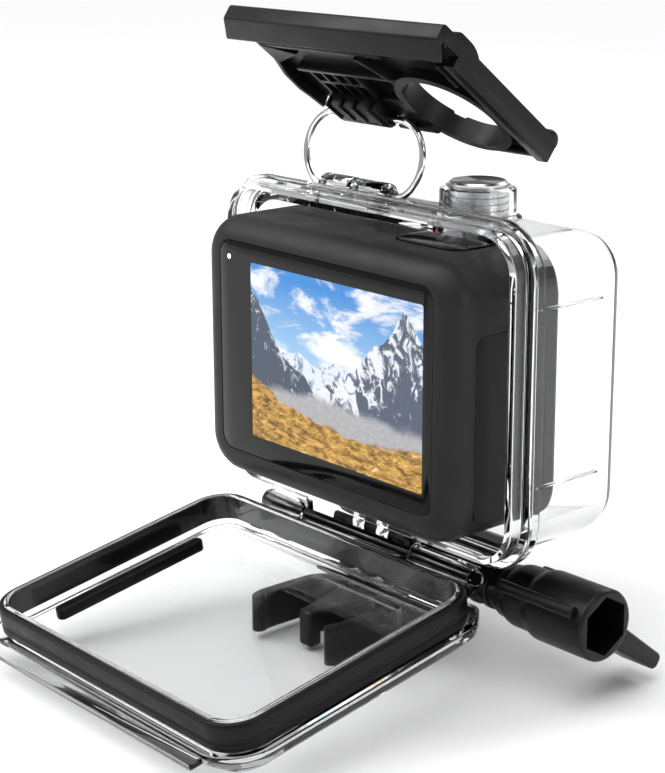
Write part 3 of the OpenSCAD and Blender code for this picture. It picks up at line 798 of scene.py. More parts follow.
def case_skin(edge, front_edge):
    """The case's wall: round the outside from the front to the collar, then in at the mouth to the cavity's end."""
    cavity_end = CASE_FRONT - FRONT_WALL
    return skin([(CASE_FRONT, CASE_BODY, 7.8, 0), (CASE_FRONT, CASE_BODY, 0, front_edge),
                 (STEP_Y, CASE_BODY, 0, edge * 0.4), (STEP_Y, CASE_STEP, 0, edge * 0.4),
                 (FLANGE_FRONT, CASE_STEP, 0, edge * 0.3), (FLANGE_FRONT, CASE_FLANGE, 0, edge),
                 (FLANGE_REAR, CASE_FLANGE, 0, edge), (FLANGE_REAR, CASE_COLLAR, 0, edge * 0.5),
                 (CASE_REAR, CASE_COLLAR, 0, edge), (CASE_REAR, CASE_MOUTH, 0, edge * 0.6),
                 (MOUTH_END, CASE_MOUTH, 0, 0.3), (MOUTH_END, CASE_CAVITY, 0, 0.3),
                 (cavity_end, CASE_CAVITY, 0, 1.3), (cavity_end, CASE_CAVITY, 5.5, 0)])


def knuckle(x0, x1, centre, web):
    """A round hinge knuckle and the web that carries it."""
    y, z = centre
    return [moved(rod(x0, x1, KNUCKLE_R, "X", 0.3), 0, y, z),
            prism([(y + a, z + b) for a, b in web], x0 + 0.05, x1 - 0.05, "X", 0.15)]


def case_finger(x):
    outline = arc(0, 0, FINGER_R, 180, 360, 32) + [(FINGER_R, 10.2), (-4.9, 10.2), (-4.9, 8.9), (-FINGER_R, 8.9)]
    return at_screw(prism(outline, x - FINGER_HALF, x + FINGER_HALF, "X", 0.25))


def port_screw_places():
    return [(LENS_X + x, LENS_Z + z) for x, z in arc(0, 0, PORT_SCREW_RING, 45, 315, 3)]


class DIVECAM_OT_case(bpy.types.Operator):
    """Build the clear case with its turret, port, hinge knuckle and clamp fingers"""
    bl_idname = "divecam.case"
    bl_label = "Clear case"

    def execute(self, context):
        look = settings("dive_case")
        turret = lathe([(0, 25.6), (7.7, 25.6), (7.7, 26.7), (7.4, 26.9), (6.9, 27.3), (6.75, 27.9), (6.75, 31.4),
                        (6.6, 31.8), (6.25, 32), (0, 32)], 96)
        parts = [case_skin(look.edge, look.front_edge), at_turret(turret),
                 moved(rod(-40.6, -37.8, 4.6, "X", 0.6), 0, SIDE_BUTTON_Y),
                 block((-24, 0), (15.1, 21.6), (25.6, 27.2), 0.25),
                 at_lens(rod(CASE_FRONT - 1, PORT_FRONT, PORT_R, "Y", 0.3, 96))]
        parts += knuckle(-15.9, 12.9, (HINGE_Y, HINGE_Z), [(-1.2, 1.8), (-1.2, 4.4), (3.2, 3.6), (2.2, 0)])
        parts += [case_finger(side * FINGER_PITCH) for side in (-1, 1)]
        for side in (-1, 1):
            for z in (-15, 15.5):
                parts.append(block((side * GUIDE_X - 0.6, side * GUIDE_X + 0.6), (16.2, 31), (z - 0.16, z + 0.16),
                                   0.05))
        cuts = [at_turret(bore(24, 33, 5.62, "Z", 96)),
                moved(bore(-42, -35, 3.62, "X"), 0, SIDE_BUTTON_Y),
                moved(bore(-41, 41, 1.12, "X", 32), 0, HINGE_Y, HINGE_Z),
                at_screw(bore(-21, 21, SCREW_R, "X")),
                at_lens(bore(CASE_FRONT - 4, 42, PORT_R - 1.6, "Y", 96))]
        cuts += [moved(bore(34.4, 37, 0.8, "Y", 20), x, 0, z) for x, z in port_screw_places()]
        finish_piece("clear_case", fuse(parts, cuts), AT_HOUSING, "housing", "clear_case", "housing_shell")
        return {"FINISHED"}


class DIVECAM_OT_bail_bracket(bpy.types.Operator):
    """Build the clear bracket that the bail turns in"""
    bl_idname = "divecam.bail_bracket"
    bl_label = "Bail bracket"

    def execute(self, context):
        low, high = node_box("bail_bracket")
        y, z = BAIL.y - CAM_REAR, BAIL.z - CAM_MID
        foot = low.z - CAM_MID
        width = (high.x - low.x - 0.8) / 2
        parts = [block((low.x, high.x), (y - 2.6, y + 3.3), (foot, foot + 1.0), 0.2)]
        for i in range(2):
            x0 = low.x + i * (width + 0.8)
            outline = arc(y, z, 2.7, 20, 160, 24) + [(y - 2.7, foot + 0.4), (y + 3.2, foot + 0.4)]
            parts.append(prism(outline, x0, x0 + width, "X", 0.3))
        cuts = [moved(bore(-40, 40, 0.74, "X", 24), 0, y, z)]
        finish_piece("bail_bracket_clear", fuse(parts, cuts), AT_HOUSING, "housing", "clear_case", "bail_bracket")
        return {"FINISHED"}


class DIVECAM_OT_lens_port(bpy.types.Operator):
    """Build the black ring round the lens port, and finish its window, seal and screws"""
    bl_idname = "divecam.lens_port"
    bl_label = "Lens port"

    def execute(self, context):
        profile = soften([(13.43, CASE_FRONT), (18.2, CASE_FRONT), (18.2, 37.8), (14.8, 37.8), (14.8, 41.6),
                          (10.4, 41.6), (10.4, 40.42), (13.43, 40.42)],
                         [0.1, 0.3, 0.5, 0.3, 0.5, 0.4, 0.1, 0.1], 4)
        ring = at_lens(lathe(profile, 128, "Y"))
        cuts = [moved(bore(35, 39, 0.82, "Y", 20), x, 0, z) for x, z in port_screw_places()]
        finish_piece("lens_port_ring_black", fuse([ring], cuts), AT_HOUSING, "housing", "black_plastic",
                     "lens_port_ring")
        dress("clear_case", "lens_port_window")
        dress("rubber", "lens_port_seal")
        dress("brushed_steel", "lens_port_screws")
        return {"FINISHED"}


class DIVECAM_OT_plungers(bpy.types.Operator):
    """Build the steel shutter plunger and its ringed bush, and finish the side plunger's parts"""
    bl_idname = "divecam.plungers"
    bl_label = "Plungers"

    def execute(self, context):
        head, top, stem, floor = 30.6, 33.0, 1.3, 26.2
        cap = [(0, 24.85), (stem, 24.85), (stem, head), (4.9, head), (5.1, head + 0.2), (5.1, head + 0.4),
               (4.54, head + 0.4), (4.54, head + 0.96), (5.1, head + 0.96), (5.1, top - 0.35), (4.75, top), (4.5, top),
               (4.3, top - 0.12), (0, top - 0.12)]
        finish_piece("shutter_plunger_steel", at_turret(lathe(cap, 128)), AT_HOUSING, "top_plunger", "turned_steel",
                     "shutter_plunger")
        rings = []
        for i in range(5):
            z = 26.5 + i * 1.15
            rings += [(5.6, z), (5.6, z + 0.55), (5.3, z + 0.65), (5.3, z + 1.05)]
        bush = [(1.36, 25.1), (5.6, 25.1)] + rings + [(5.6, 32.2), (5.16, 32.2), (5.16, floor), (1.36, floor)]
        finish_piece("plunger_bush_ringed", at_turret(lathe(bush, 96)), AT_HOUSING, "housing", "brushed_steel",
                     "plunger_bush")
        # The coil is as long as the space that is left when the plunger is pressed
        wire, mean, turns, steps = 0.35, 3.7, 3, 24
        low, high = floor + 1.05 + wire, head - 0.04 - wire
        coil = [(mean * math.cos(a), mean * math.sin(a), low + (high - low) * i / (turns * steps))
                for i, a in enumerate(2 * math.pi * k / steps for k in range(turns * steps + 1))]
        finish_piece("plunger_spring_coil", at_turret(sweep(coil, wire, 12, False, (0, 0, 1))), AT_HOUSING,
                     "top_plunger", "brushed_steel", "plunger_spring")
        dress("brushed_steel", "side_plunger_bush", "side_plunger", "side_plunger_clip", "side_plunger_spring",
              "plunger_clip")
        dress("rubber", "plunger_seal", "side_plunger_seal")
        return {"FINISHED"}


# ---- The camera ----

CAM_HALF = (BODY_HIGH.x - BODY_LOW.x) / 2
CAM_HALF_Z = (BODY_HIGH.z - BODY_LOW.z) / 2
CAM_SHAPE = (CAM_HALF, -CAM_HALF_Z, CAM_HALF_Z, 7.5)
CAM_DEPTH = 24.2
CAM_WALL = 2.0
CAM_SCREW_HOLE = 0.77
PLATE = 1.8
GLASS = (-27.5, 28.7, -19.0, 20.4)
DISPLAY = (-18.7, 26.4, -15.2, 17.2)
KEY_X, KEY_Y = 16.5, 15.0
MODE_Y = 16.2
LAMP_X, LAMP_Z = -24.7, 17.3


def inset_rect(edges, inset, radius, steps=12):
    """A round-cornered outline of (low x, high x, low z, high z), drawn in by an inset."""
    x0, x1, z0, z1 = edges
    return round_rect(x0 + inset, x1 - inset, z0 + inset, z1 - inset, radius, steps)


def camera_screw_places():
    return [(x, z) for x in (-28.2, 28.2) for z in (-19.2, 19.2)]


def rounded_end(y, direction, radius, steps=12):
    """Sections that ease the camera's end at y into its sides; direction is +1 at the rear and -1 at the front."""
    sections = []
    for k in range(steps + 1):
        a = math.pi / 2 * k / steps
        sections.append(section(y + direction * radius * (1 - math.cos(a)), CAM_SHAPE, radius * (1 - math.sin(a))))
    return sections


def camera_loft(sections):
    return loft([[(x, y, z) for x, z in round_rect(-half, half, low, high, radius, 16)]
                 for y, half, low, high, radius in sections])


class DIVECAM_OT_camera_body(bpy.types.Operator):
    """Build the camera's soft-touch body and its front plate"""
    bl_idname = "divecam.camera_body"
    bl_label = "Camera body"

    def execute(self, context):
        inside = inset_rect((-CAM_HALF, CAM_HALF, -CAM_HALF_Z, CAM_HALF_Z), CAM_WALL, 5.4)
        hollow = fuse([prism(inside, 2.6, CAM_DEPTH + 1, "Y", 0)],
                      [moved(bore(1, CAM_DEPTH + 2, 2.1, "Y"), x, 0, z) for x, z in camera_screw_places()]
                      + [moved(bore(20.7, 25, 2.4, "Z"), KEY_X, KEY_Y),
                         moved(bore(-CAM_HALF - 1, -CAM_HALF + 3.7, 2.2, "X"), 0, MODE_Y)])
        cuts = [hollow,
                prism(inset_rect(GLASS, 0, 3), -1, 1.05, "Y", 0), prism(inset_rect(DISPLAY, 0, 0.6, 4), 0, 4, "Y", 0),
                prism(round_rect(8.25, 24.75, 8.75, 21.25, 3.2), CAM_HALF_Z - 1.1, CAM_HALF_Z + 1, "Z", 0),
                moved(bore(CAM_HALF_Z - 2.6, CAM_HALF_Z + 1, 1.6, "Z"), KEY_X, KEY_Y),
                moved(bore(-CAM_HALF - 1, -CAM_HALF + 1.2, 4.2, "X"), 0, MODE_Y),
                moved(bore(-CAM_HALF - 1, -CAM_HALF + 2.7, 1.4, "X"), 0, MODE_Y),
                prism(round_rect(5.4, 20.6, -20, 12, 2), CAM_HALF - 1.4, CAM_HALF + 1, "X", 0),
                prism(round_rect(7.4, 18.6, -18, 10, 1.5), CAM_HALF - 4, CAM_HALF + 1, "X", 0)]
        cuts += [moved(bore(CAM_DEPTH - 7, CAM_DEPTH + 1, CAM_SCREW_HOLE, "Y", 20), x, 0, z)
                 for x, z in camera_screw_places()]
        body = camera_loft(rounded_end(0, 1, 4.8, 20) + [section(CAM_DEPTH - PLATE, CAM_SHAPE)])
        finish_piece("camera_shell", fuse([body], cuts), AT_HOUSING, "camera", "camera_shell", "camera_body")
        front = camera_loft([section(CAM_DEPTH - PLATE + 0.03, CAM_SHAPE)]
                            + list(reversed(rounded_end(CAM_DEPTH, -1, 1.7))))
        holes = [at_lens(bore(CAM_DEPTH - 4, CAM_DEPTH + 1, 8.2, "Y", 96))]
        holes += [moved(bore(CAM_DEPTH - 4, CAM_DEPTH + 1, CAM_SCREW_HOLE, "Y", 20), x, 0, z)
                  for x, z in camera_screw_places()]
        finish_piece("camera_front", fuse([front], holes), AT_HOUSING, "camera", "camera_shell", "camera_front_plate")
        return {"FINISHED"}


class DIVECAM_OT_display(bpy.types.Operator):
    """Build the black rear glass and the lit display set into it"""
    bl_idname = "divecam.display"
    bl_label = "Display"

    def execute(self, context):
        glass = prism(inset_rect(GLASS, 0.1, 2.9), 0.05, 1.0, "Y", 0.12)
        window = prism(inset_rect(DISPLAY, 0.08, 0.5, 4), -1, 2, "Y", 0)
        lamp_hole = moved(rod(-1, 0.75, 0.46, "Y", 0.02, 24), LAMP_X, 0, LAMP_Z)
        finish_piece("rear_glass_frame", fuse([glass], [window, lamp_hole]), AT_HOUSING, "camera", "gloss_black",
                     "rear_glass")
        panel = prism(inset_rect(DISPLAY, 0.1, 0.5, 4), 0.06, 2.4, "Y", 0.03, 1)
        finish_piece("display_panel", panel, AT_HOUSING, "camera", "screen", "screen_panel")
        dress("status_white", "status_light")
        return {"FINISHED"}


class DIVECAM_OT_keys(bpy.types.Operator):
    """Build the camera's gloss shutter key with its red mark, and finish the mode key"""
    bl_idname = "divecam.keys"
    bl_label = "Camera keys"

    def execute(self, context):
        low, high = node_box("shutter_button")
        top = high.z - CAM_MID
        key = prism(round_rect(8.5, 24.5, 9, 21, 3), CAM_HALF_Z - 0.1, top, "Z", 0.16)
        stem = moved(rod(low.z - CAM_MID + 0.82, CAM_HALF_Z, 1.5, "Z", 0.1), KEY_X, KEY_Y)
        mark = moved(rod(top - 0.25, top + 1, 0.82, "Z", 0.02, 32), 11.4, 17)
        finish_piece("shutter_key", fuse([key, stem], [mark]), AT_HOUSING, "shutter_key", "gloss_black",
                     "shutter_button")
        dress("red_mark", "shutter_mark")
        dress("black_plastic", "mode_button")
        dress("brushed_steel", "shutter_dome", "mode_dome")
        return {"FINISHED"}


class DIVECAM_OT_camera_insides(bpy.types.Operator):
    """Finish the lens, the side door and what is inside the camera"""
    bl_idname = "divecam.camera_insides"
    bl_label = "Camera insides"

    def execute(self, context):
        dress("black_plastic", "lens_surround", "lens_barrel", "side_door")
        dress("lens_glass", "lens_cover_glass")
        dress("rubber", "side_door_seal")
        dress("brushed_steel", "processor_shield", "usb_port", "camera_front_screws")
        dress("circuit", "main_board", "image_sensor", "memory_card")
        dress("contacts", "battery_contacts")
        dress("cell", "battery", "speaker")
        return {"FINISHED"}


# ---- The rear door ----
# Sections run from the door's outer side (negative y) to its inner side.

DOOR_WALL = (34.4, 6.4, 58.7, 5.6)
DOOR_FLANGE = (36.9, 3.9, 61.2, 8.2)
DOOR_INSIDE = (33.5, 7.3, 57.8, 4.7)
FLOOR_OUT, FLOOR_IN = -6.4, -4.6
WALL_END = 3.1


class DIVECAM_OT_door(bpy.types.Operator):
    """Build the clear rear door, a tray with a flange, hinge knuckles and the ledge that the latch hooks"""
    bl_idname = "divecam.door"
    bl_label = "Rear door"

    def execute(self, context):
        edge = settings("dive_case").edge
        parts = [skin([(FLOOR_OUT, DOOR_WALL, 7, 0), (FLOOR_OUT, DOOR_WALL, 0, 1.3), (-4, DOOR_WALL, 0, 0.3),
                       (-4, DOOR_FLANGE, 0, edge), (-2, DOOR_FLANGE, 0, edge), (-2, DOOR_WALL, 0, 0.3),
                       (WALL_END, DOOR_WALL, 0, 0.4), (WALL_END, DOOR_INSIDE, 0, 0.4),
                       (FLOOR_IN, DOOR_INSIDE, 0, 1.2), (FLOOR_IN, DOOR_INSIDE, 7, 0)]),
                 block((-31, 29), (-4, -2.8), (60.4, 63.7), 0.35)]
        web = [(-3.9, 5.8), (-2.2, 5.0), (-2.2, 3.2), (0, 2.1), (-2.1, -0.4)]
        for x0, x1 in ((-28, -16.2), (13.2, 28)):
            parts += knuckle(x0, x1, (0, 0), web)
        cuts = [bore(-41, 41, 1.16, "X", 32)]
        finish_piece("rear_door_clear", fuse(parts, cuts), AT_DOOR, "door", "clear_case", "door_panel")
        dress("dark_pin", "hinge_pin")
        return {"FINISHED"}


class DIVECAM_OT_gasket(bpy.types.Operator):
    """Build the door's black gasket and its two pads"""
    bl_idname = "divecam.gasket"
    bl_label = "Gasket and pads"

    def execute(self, context):
        lips = [(-1.98, 0.02), (-1.98, 1.0), (-0.8, 1.0), (-0.55, 0.82), (-0.1, 0.82), (0.15, 1.0), (2.3, 1.0),
                (2.88, 0.75), (2.88, 0.02)]
        rings = case_loft([section(y, DOOR_WALL, -grow) for y, grow in lips], 0.12, True, 2)
        finish_piece("door_gasket_band", rings, AT_DOOR, "door", "rubber", "door_gasket")
        pads = []
        low, high = -17 - HINGE_Z, 16 - HINGE_Z
        for side in (-1, 1):
            outline = inset_rect((min(side * 29.6, side * 32), max(side * 29.6, side * 32), low, high), 0, 1.1, 8)
            pads.append(prism(outline, FLOOR_IN, FLOOR_IN + 2.2, "Y", 0.35, 3))
        finish_piece("door_pad_bars", together(pads), AT_DOOR, "door", "rubber", "door_pads")
        return {"FINISHED"}


# ---- Bail and latch ----

BAIL_X = -10.1
BAIL_BAR = 17.0


class DIVECAM_OT_bail(bpy.types.Operator):
    """Build the bright wire bail, a loop with two straight bars"""
    bl_idname = "divecam.bail"
    bl_label = "Wire bail"

    def execute(self, context):
        radius = settings("dive_fittings").wire
        height = math.hypot(LATCH.y - BAIL.y, LATCH.z - BAIL.z)
        lean = math.atan2(LATCH.y - BAIL.y, LATCH.z - BAIL.z)
        half = height / 2
        path = arc(BAIL_X + BAIL_BAR / 2, half, half, -90, 90, 40) + arc(BAIL_X - BAIL_BAR / 2, half, half, 90, 270, 40)
        wire = sweep([(x, 0, z) for x, z in path], radius)
        place = at_point(0, BAIL.y, BAIL.z) @ Matrix.Rotation(-lean, 4, "X")
        finish_piece("bail_wire_bright", wire, place, "bail", "chrome_wire", "bail_wire")
        return {"FINISHED"}


HOLE_X, HOLE_Y, HOLE_R = 13.6, 22.4, 9.5
LEVER_END = 34.8
# Where the ribs under the plate start and end
RIBS = (-3.9, -0.5)
CLIP_PLACE = (BAIL_X, 25.8, -4.8)


class DIVECAM_OT_latch(bpy.types.Operator):
    """Build the black latch lever with its hook beam, turret hole and stiffening ribs"""
    bl_idname = "divecam.latch"
    bl_label = "Latch lever"

    def execute(self, context):
        # The hook beam, as (y, z), then the plate from above, and the raised ridge at its right end
        hook = soften([(0, 0), (7.6, 0), (7.6, -2.4), (1.7, -2.4), (1.7, -3.2), (3.6, -5.1), (3.0, -5.5), (0.2, -3.0)],
                      [0.8, 0.3, 0.3, 0.3, 0.3, 0.15, 0.2, 0.35], 4)
        plate = soften([(-24.5, 7), (27, 7), (27, LEVER_END), (11, LEVER_END), (9.5, 33.2), (7.6, 28.6), (-20.5, 28.2),
                        (-24.5, 23.5)], [0.4, 0.4, 1.6, 1.0, 1.2, 2, 1.5, 2], 4)
        ridge = soften([(2.4, -1), (3.6, 1.0), (8.6, 1.0), (11.2, -1)], [0.1, 0.9, 1.6, 0.1], 4)
        # The wall round the turret hole, the left side's skirt, and a slanting brace
        rim = [(HOLE_R + 1.6, -4.1), (HOLE_R + 1.6, -0.4), (HOLE_R - 0.4, -0.4), (HOLE_R - 0.4, -4.1)]
        skirt = [(5, -0.5), (5, -3.4), (12, -3.4), (15.7, -4.3), (20, -4.5), (23, -4.2), (26.6, -4.0), (25.8, -0.5)]
        brace = [(1.0, 8), (2.0, 8), (8.2, 17.6), (7.2, 17.6)]
        parts = [prism(hook, -27.2, 27, "X", 0.14),
                 prism(plate, -2.2, 0, "Z", 0.25),
                 prism(ridge, 20.5, 27, "X", 0.5, 3),
                 moved(lathe(rim, 96), HOLE_X, HOLE_Y),
                 prism(skirt, -24.5, -23.3, "X", 0.3),
                 block((-22.5, -16.6), (27.0, 28.2), (-4.6, -0.5), 0.35),
                 block((-3.6, 9), (27.2, 28.4), (-5.2, -0.5), 0.5, 3), block((-3.4, 9), (21, 28), RIBS, 0.4),
                 block((-24, 8), (7.2, 8.2), (-3.3, -0.5), 0.2), block((-19, 7.4), (13.4, 14.2), (-4.0, -0.5), 0.2),
                 prism([(-24, 7.4), (-15.4, 9.4), (-23.8, 13.2)], -3.5, -0.5, "Z", 0.3),
                 prism(brace, -4.0, -0.5, "Z", 0.2),
                 block((24.4, 27), (6, LEVER_END - 0.3), (-4.4, -0.2), 0.4),
                 block((10, 26.6), (LEVER_END - 1.8, LEVER_END), (-3.6, -0.2), 0.5),
                 moved(rod(18.2, 27, 1.9, "X", 0.7), 0, LEVER_END - 1.9, -0.9),
                 block((21.6, 22.4), (7, 13.2), (-4.0, -0.5), 0.2)]
        for i in range(5):
            x = BAIL_X + 2.9 * (i - 2)
            parts.append(block((x - 0.35, x + 0.35), (13.8, 21), RIBS, 0.15))
        parts.append(block((BAIL_X - 6.2, BAIL_X + 6.2), (16.8, 17.6), RIBS, 0.15))
        cuts = [moved(bore(-9, 3, HOLE_R, "Z", 96), HOLE_X, HOLE_Y),
                block((BAIL_X - 6.35, BAIL_X + 6.35), (20.8, 30.1), (-10, -1.2), 0)]
        finish_piece("latch_lever_black", fuse(parts, cuts), AT_LATCH, "latch", "black_plastic", "latch_lever")
        return {"FINISHED"}


class DIVECAM_OT_latch_clip(bpy.types.Operator):
    """Build the ribbed clip that holds the bail's upper bar in the latch"""
    bl_idname = "divecam.latch_clip"
    bl_label = "Latch clip"

    def execute(self, context):
        x, y, z = CLIP_PLACE
        parts = [block((-6.3, 6.3), (-5, 0.6), (-1.5, 3.6), 0.35), rod(-6.3, 6.3, 1.6, "X", 0.3)]
        for i in (-5.4, -2, 1.4, 5.4):
            parts.append(block((i - 0.3, i + 0.3), (-5.4, -0.6), (-1.9, 0), 0.12))
        clip = moved(fuse(parts, [bore(-40, 40, 0.74, "X", 24)]), x, y, z)
        finish_piece("latch_clip_ribbed", clip, AT_LATCH, "latch", "black_plastic", "latch_clip")
        return {"FINISHED"}


# ---- Buckle and thumb screw ----

BASE = -CLAMP.z


class DIVECAM_OT_buckle(bpy.types.Operator):
    """Build the quick-release buckle with its clamp fingers and sprung prongs"""
    bl_idname = "divecam.buckle"
    bl_label = "Buckle"

    def execute(self, context):
        finger = arc(0, 0, FINGER_R, 0, 180, 32) + [(-FINGER_R, BASE + 5), (FINGER_R, BASE + 5)]
        parts = [prism(round_rect(-12.6, 12.6, -10.5, 9.5, 2.5), BASE, BASE + 4, "Z", 0.5, 3),
                 prism(round_rect(-9.5, 9.5, -9.5, 8.5, 2), BASE + 3.5, BASE + 6.2, "Z", 0.4),
                 prism([(-5.4, -8), (5.4, -8), (1.7, -22), (-1.7, -22)], BASE + 3.4, BASE + 7.6, "Z", 0.6, 3),
                 block((-1.7, 1.7), (-23.4, -20.6), (BASE + 0.8, BASE + 7.6), 0.7, 3),
                 rod(-12.4, -7.7, 6, "X", 0.4)]
        parts += [prism(finger, 2 * FINGER_PITCH * i - FINGER_HALF, 2 * FINGER_PITCH * i + FINGER_HALF, "X", 0.25)
                  for i in (-1, 0, 1)]
        for side in (-1, 1):
            arm = [(4, -8), (9.6, -8.4), (12, -11), (12, -24.4), (10.9, -27), (9.3, -27), (8.6, -25.4), (9.4, -24),
                   (9.4, -13.2), (7.8, -11.4), (4, -11)]
            arm = soften([(side * px, py) for px, py in arm][::side], 1.6, 4)
            parts.append(prism(arm, BASE + 1.4, BASE + 8.3, "Z", 0.5, 3))
        pocket = turned(lathe([(0, 0), (4.4, 0), (4.4, 9), (0, 9)], 6), -90, "Y")
        cuts = [bore(-30, 30, SCREW_R, "X"), moved(pocket, -2 * FINGER_PITCH - FINGER_HALF)]
        finish_piece("buckle_black", fuse(parts, cuts), AT_CLAMP, "mount_buckle", "black_plastic", "buckle")
        dress("brushed_steel", "clamp_nut")
        return {"FINISHED"}


KNOB_START, KNOB_END, KNOB_R, NECK_R = 30.0, 50.0, 6.3, 3.9


def wing(degrees, reach, half=1.3, x0=KNOB_START + 1, x1=KNOB_END - 2):
    """A rib along the knob that stands out at an angle."""
    outline = soften([(-half, 0), (-half * 0.8, reach), (half * 0.8, reach), (half, 0)], [0, 0.7, 0.7, 0], 4)
    return turned(prism(outline, x0, x1, "X", 0.4, 3), degrees - 90)


class DIVECAM_OT_thumb_screw(bpy.types.Operator):
    """Build the thumb screw: neck, winged knob with a hex socket, and long blade"""
    bl_idname = "divecam.thumb_screw"
    bl_label = "Thumb screw"

    def execute(self, context):
        # The knob's profile, as (radius, x), and the blade's outline from its root to its tip
        knob = soften([(0, KNOB_START), (5.0, KNOB_START), (5.6, KNOB_START + 1.6), (5.6, KNOB_START + 6),
                       (KNOB_R, KNOB_START + 7.4), (KNOB_R, KNOB_END), (0, KNOB_END)],
                      [0, 0.5, 0.8, 0.6, 0.7, 0.7, 0], 4, False)
        blade = soften([(-2.3, 0), (-1.5, 20.2), (1.5, 20.2), (2.3, 0)], [0, 1.1, 1.1, 0], 4)
        parts = [rod(7.95, KNOB_START + 1, NECK_R, "X", 0.3),
                 rod(KNOB_START - 1.6, KNOB_START + 0.6, NECK_R + 0.9, "X", 0.3),
                 rod(KNOB_START - 9, KNOB_START - 7.6, NECK_R + 0.35, "X", 0.2),
                 rod(KNOB_START - 5.4, KNOB_START - 4, NECK_R + 0.35, "X", 0.2),
                 lathe(knob, 72, "X"),
                 wing(150, 7.7), wing(30, 6.8), wing(-36, KNOB_R + 0.5),
                 turned(prism(blade, KNOB_END - 9, KNOB_END - 1.6, "X", 0.5, 3), -126)]
        socket = moved(turned(lathe([(0, 0), (5.3, 0), (5.3, 20), (0, 20)], 6), 90, "Y"), KNOB_END - 9)
        cuts = [bore(0, KNOB_END - 11, 2.41, "X"), socket]
        finish_piece("thumb_screw_black", fuse(parts, cuts), AT_CLAMP, "clamp_screw", "black_plastic", "thumb_screw")
        dress("brushed_steel", "clamp_shaft")
        return {"FINISHED"}


# ---- Stage ----

# In metres
FLOOR_HALF = 3.0
FLOOR_GAP = 0.0002
LIT_POINT = (0, 0, 0.05)
VIEW_PLACE = Vector((0.2449, -0.22723, 0.13904))
VIEW_ACROSS = Vector((0.65254505, 0.75774364, -0.00308966))
VIEW_UP = Vector((-0.20192792, 0.17782107, 0.96312241))


def soft_box(name, place, aim, width, height, power):
    """An area light that faces a point."""
    lamp_data = bpy.data.lights.new(name, "AREA")
    lamp_data.shape = "RECTANGLE"
    lamp_data.size = width
    lamp_data.size_y = height
    lamp_data.energy = power
    box = bpy.data.objects.new(name, lamp_data)
    box.location = place
    box.rotation_euler = (Vector(aim) - Vector(place)).to_track_quat("-Z", "Y").to_euler()
    bpy.context.scene.collection.objects.link(box)


def soft_sun(name, towards, spread, strength):
    """A broad even light from far off."""
    lamp_data = bpy.data.lights.new(name, "SUN")
    lamp_data.angle = math.radians(spread)
    lamp_data.energy = strength
    sun = bpy.data.objects.new(name, lamp_data)
    sun.rotation_euler = Vector(towards).to_track_quat("Z", "Y").to_euler()
    bpy.context.scene.collection.objects.link(sun)


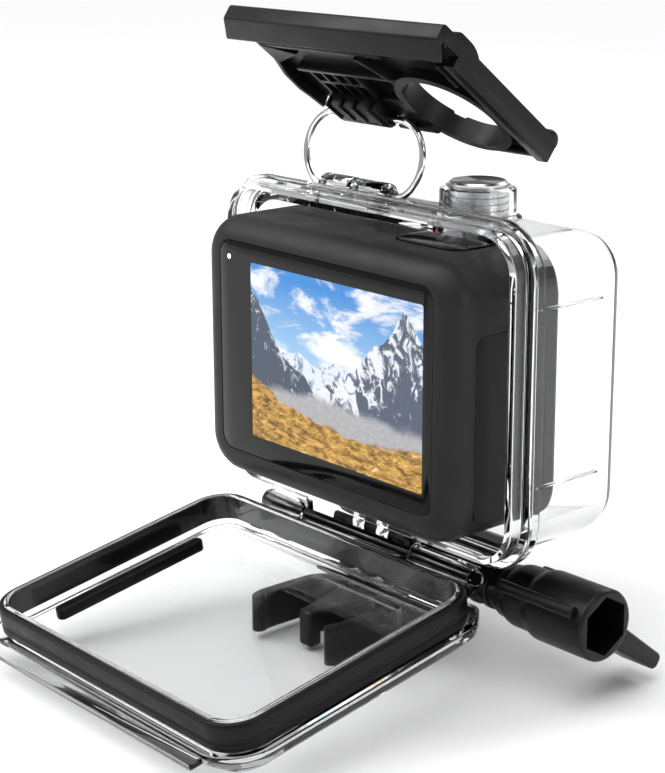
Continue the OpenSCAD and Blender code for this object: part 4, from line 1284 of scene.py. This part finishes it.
class DIVECAM_OT_stage(bpy.types.Operator):
    """Set the floor, the soft light and the camera"""
    bl_idname = "divecam.stage"
    bl_label = "Stage"

    def execute(self, context):
        look = settings("dive_stage")
        colour = tuple(look.backdrop)
        context.scene.view_settings.view_transform = "Standard"
        floor_finish = Finish("floor")
        haze = floor_finish.noise(2, 2)
        floor_finish.sockets(base_color=floor_finish.mix(haze, darker(colour, 0.985), colour), roughness=0.6)
        bm = bmesh.new()
        corners = ((-1, -1), (1, -1), (1, 1), (-1, 1))
        bm.faces.new([bm.verts.new((x * FLOOR_HALF, y * FLOOR_HALF, 0)) for x, y in corners])
        floor = to_object(bm, "floor")
        floor.location.z = CAD_BOX[0][2] - FLOOR_GAP
        floor.data.materials.append(floor_finish.material)
        world = bpy.data.worlds.new("room")
        world.use_nodes = True
        room = world.node_tree.nodes["Background"]
        room.inputs["Color"].default_value = (*colour, 1)
        room.inputs["Strength"].default_value = look.room
        context.scene.world = world
        soft_sun("overhead", (-0.2, -0.35, 1), 70, look.light)
        soft_box("key_box", (-0.45, -0.35, 0.5), LIT_POINT, 0.3, 0.5, look.boxes)
        soft_box("side_box", (0.75, 0.1, 0.3), LIT_POINT, 0.12, 0.6, 0.6 * look.boxes)
        soft_box("back_box", (0.0, 0.6, 0.45), LIT_POINT, 0.7, 0.2, look.boxes)
        view = bpy.data.cameras.new("view")
        view.sensor_fit = "VERTICAL"
        view.sensor_height = 36
        view.lens = look.lens
        view.clip_start = 0.01
        view.clip_end = 20
        seat = bpy.data.objects.new("view", view)
        across, up = VIEW_ACROSS.normalized(), VIEW_UP.normalized()
        turn = Matrix((across, up, across.cross(up))).transposed()
        seat.matrix_world = Matrix.Translation(VIEW_PLACE) @ turn.to_4x4()
        context.scene.collection.objects.link(seat)
        context.scene.camera = seat
        return {"FINISHED"}


# ---- Panel and registration ----

OPERATORS = (DIVECAM_OT_case, DIVECAM_OT_bail_bracket, DIVECAM_OT_lens_port, DIVECAM_OT_plungers,
             DIVECAM_OT_camera_body, DIVECAM_OT_display, DIVECAM_OT_keys, DIVECAM_OT_camera_insides, DIVECAM_OT_door,
             DIVECAM_OT_gasket, DIVECAM_OT_bail, DIVECAM_OT_latch, DIVECAM_OT_latch_clip, DIVECAM_OT_buckle,
             DIVECAM_OT_thumb_screw, DIVECAM_OT_stage)


class DIVECAM_PT_panel(bpy.types.Panel):
    """The sizes, colours and pieces of the dive housing"""
    bl_idname = "DIVECAM_PT_panel"
    bl_label = "Dive housing"
    bl_space_type = "VIEW_3D"
    bl_region_type = "UI"
    bl_category = "Dive housing"

    def draw(self, context):
        for name, group in SETTINGS.items():
            box = self.layout.box()
            for prop in group.__annotations__:
                box.prop(getattr(context.scene, name), prop)
        for operator in OPERATORS:
            self.layout.operator(operator.bl_idname)


CLASSES = (*SETTINGS.values(), *OPERATORS, DIVECAM_PT_panel)


def register():
    for item in CLASSES:
        bpy.utils.register_class(item)
    for name, group in SETTINGS.items():
        setattr(bpy.types.Scene, name, bpy.props.PointerProperty(type=group))


def unregister():
    for name in SETTINGS:
        delattr(bpy.types.Scene, name)
    for item in reversed(CLASSES):
        bpy.utils.unregister_class(item)


def main():
    register()
    for operator in OPERATORS:
        group, name = operator.bl_idname.split(".")
        getattr(getattr(bpy.ops, group), name)()


if __name__ == "__main__":
    main()
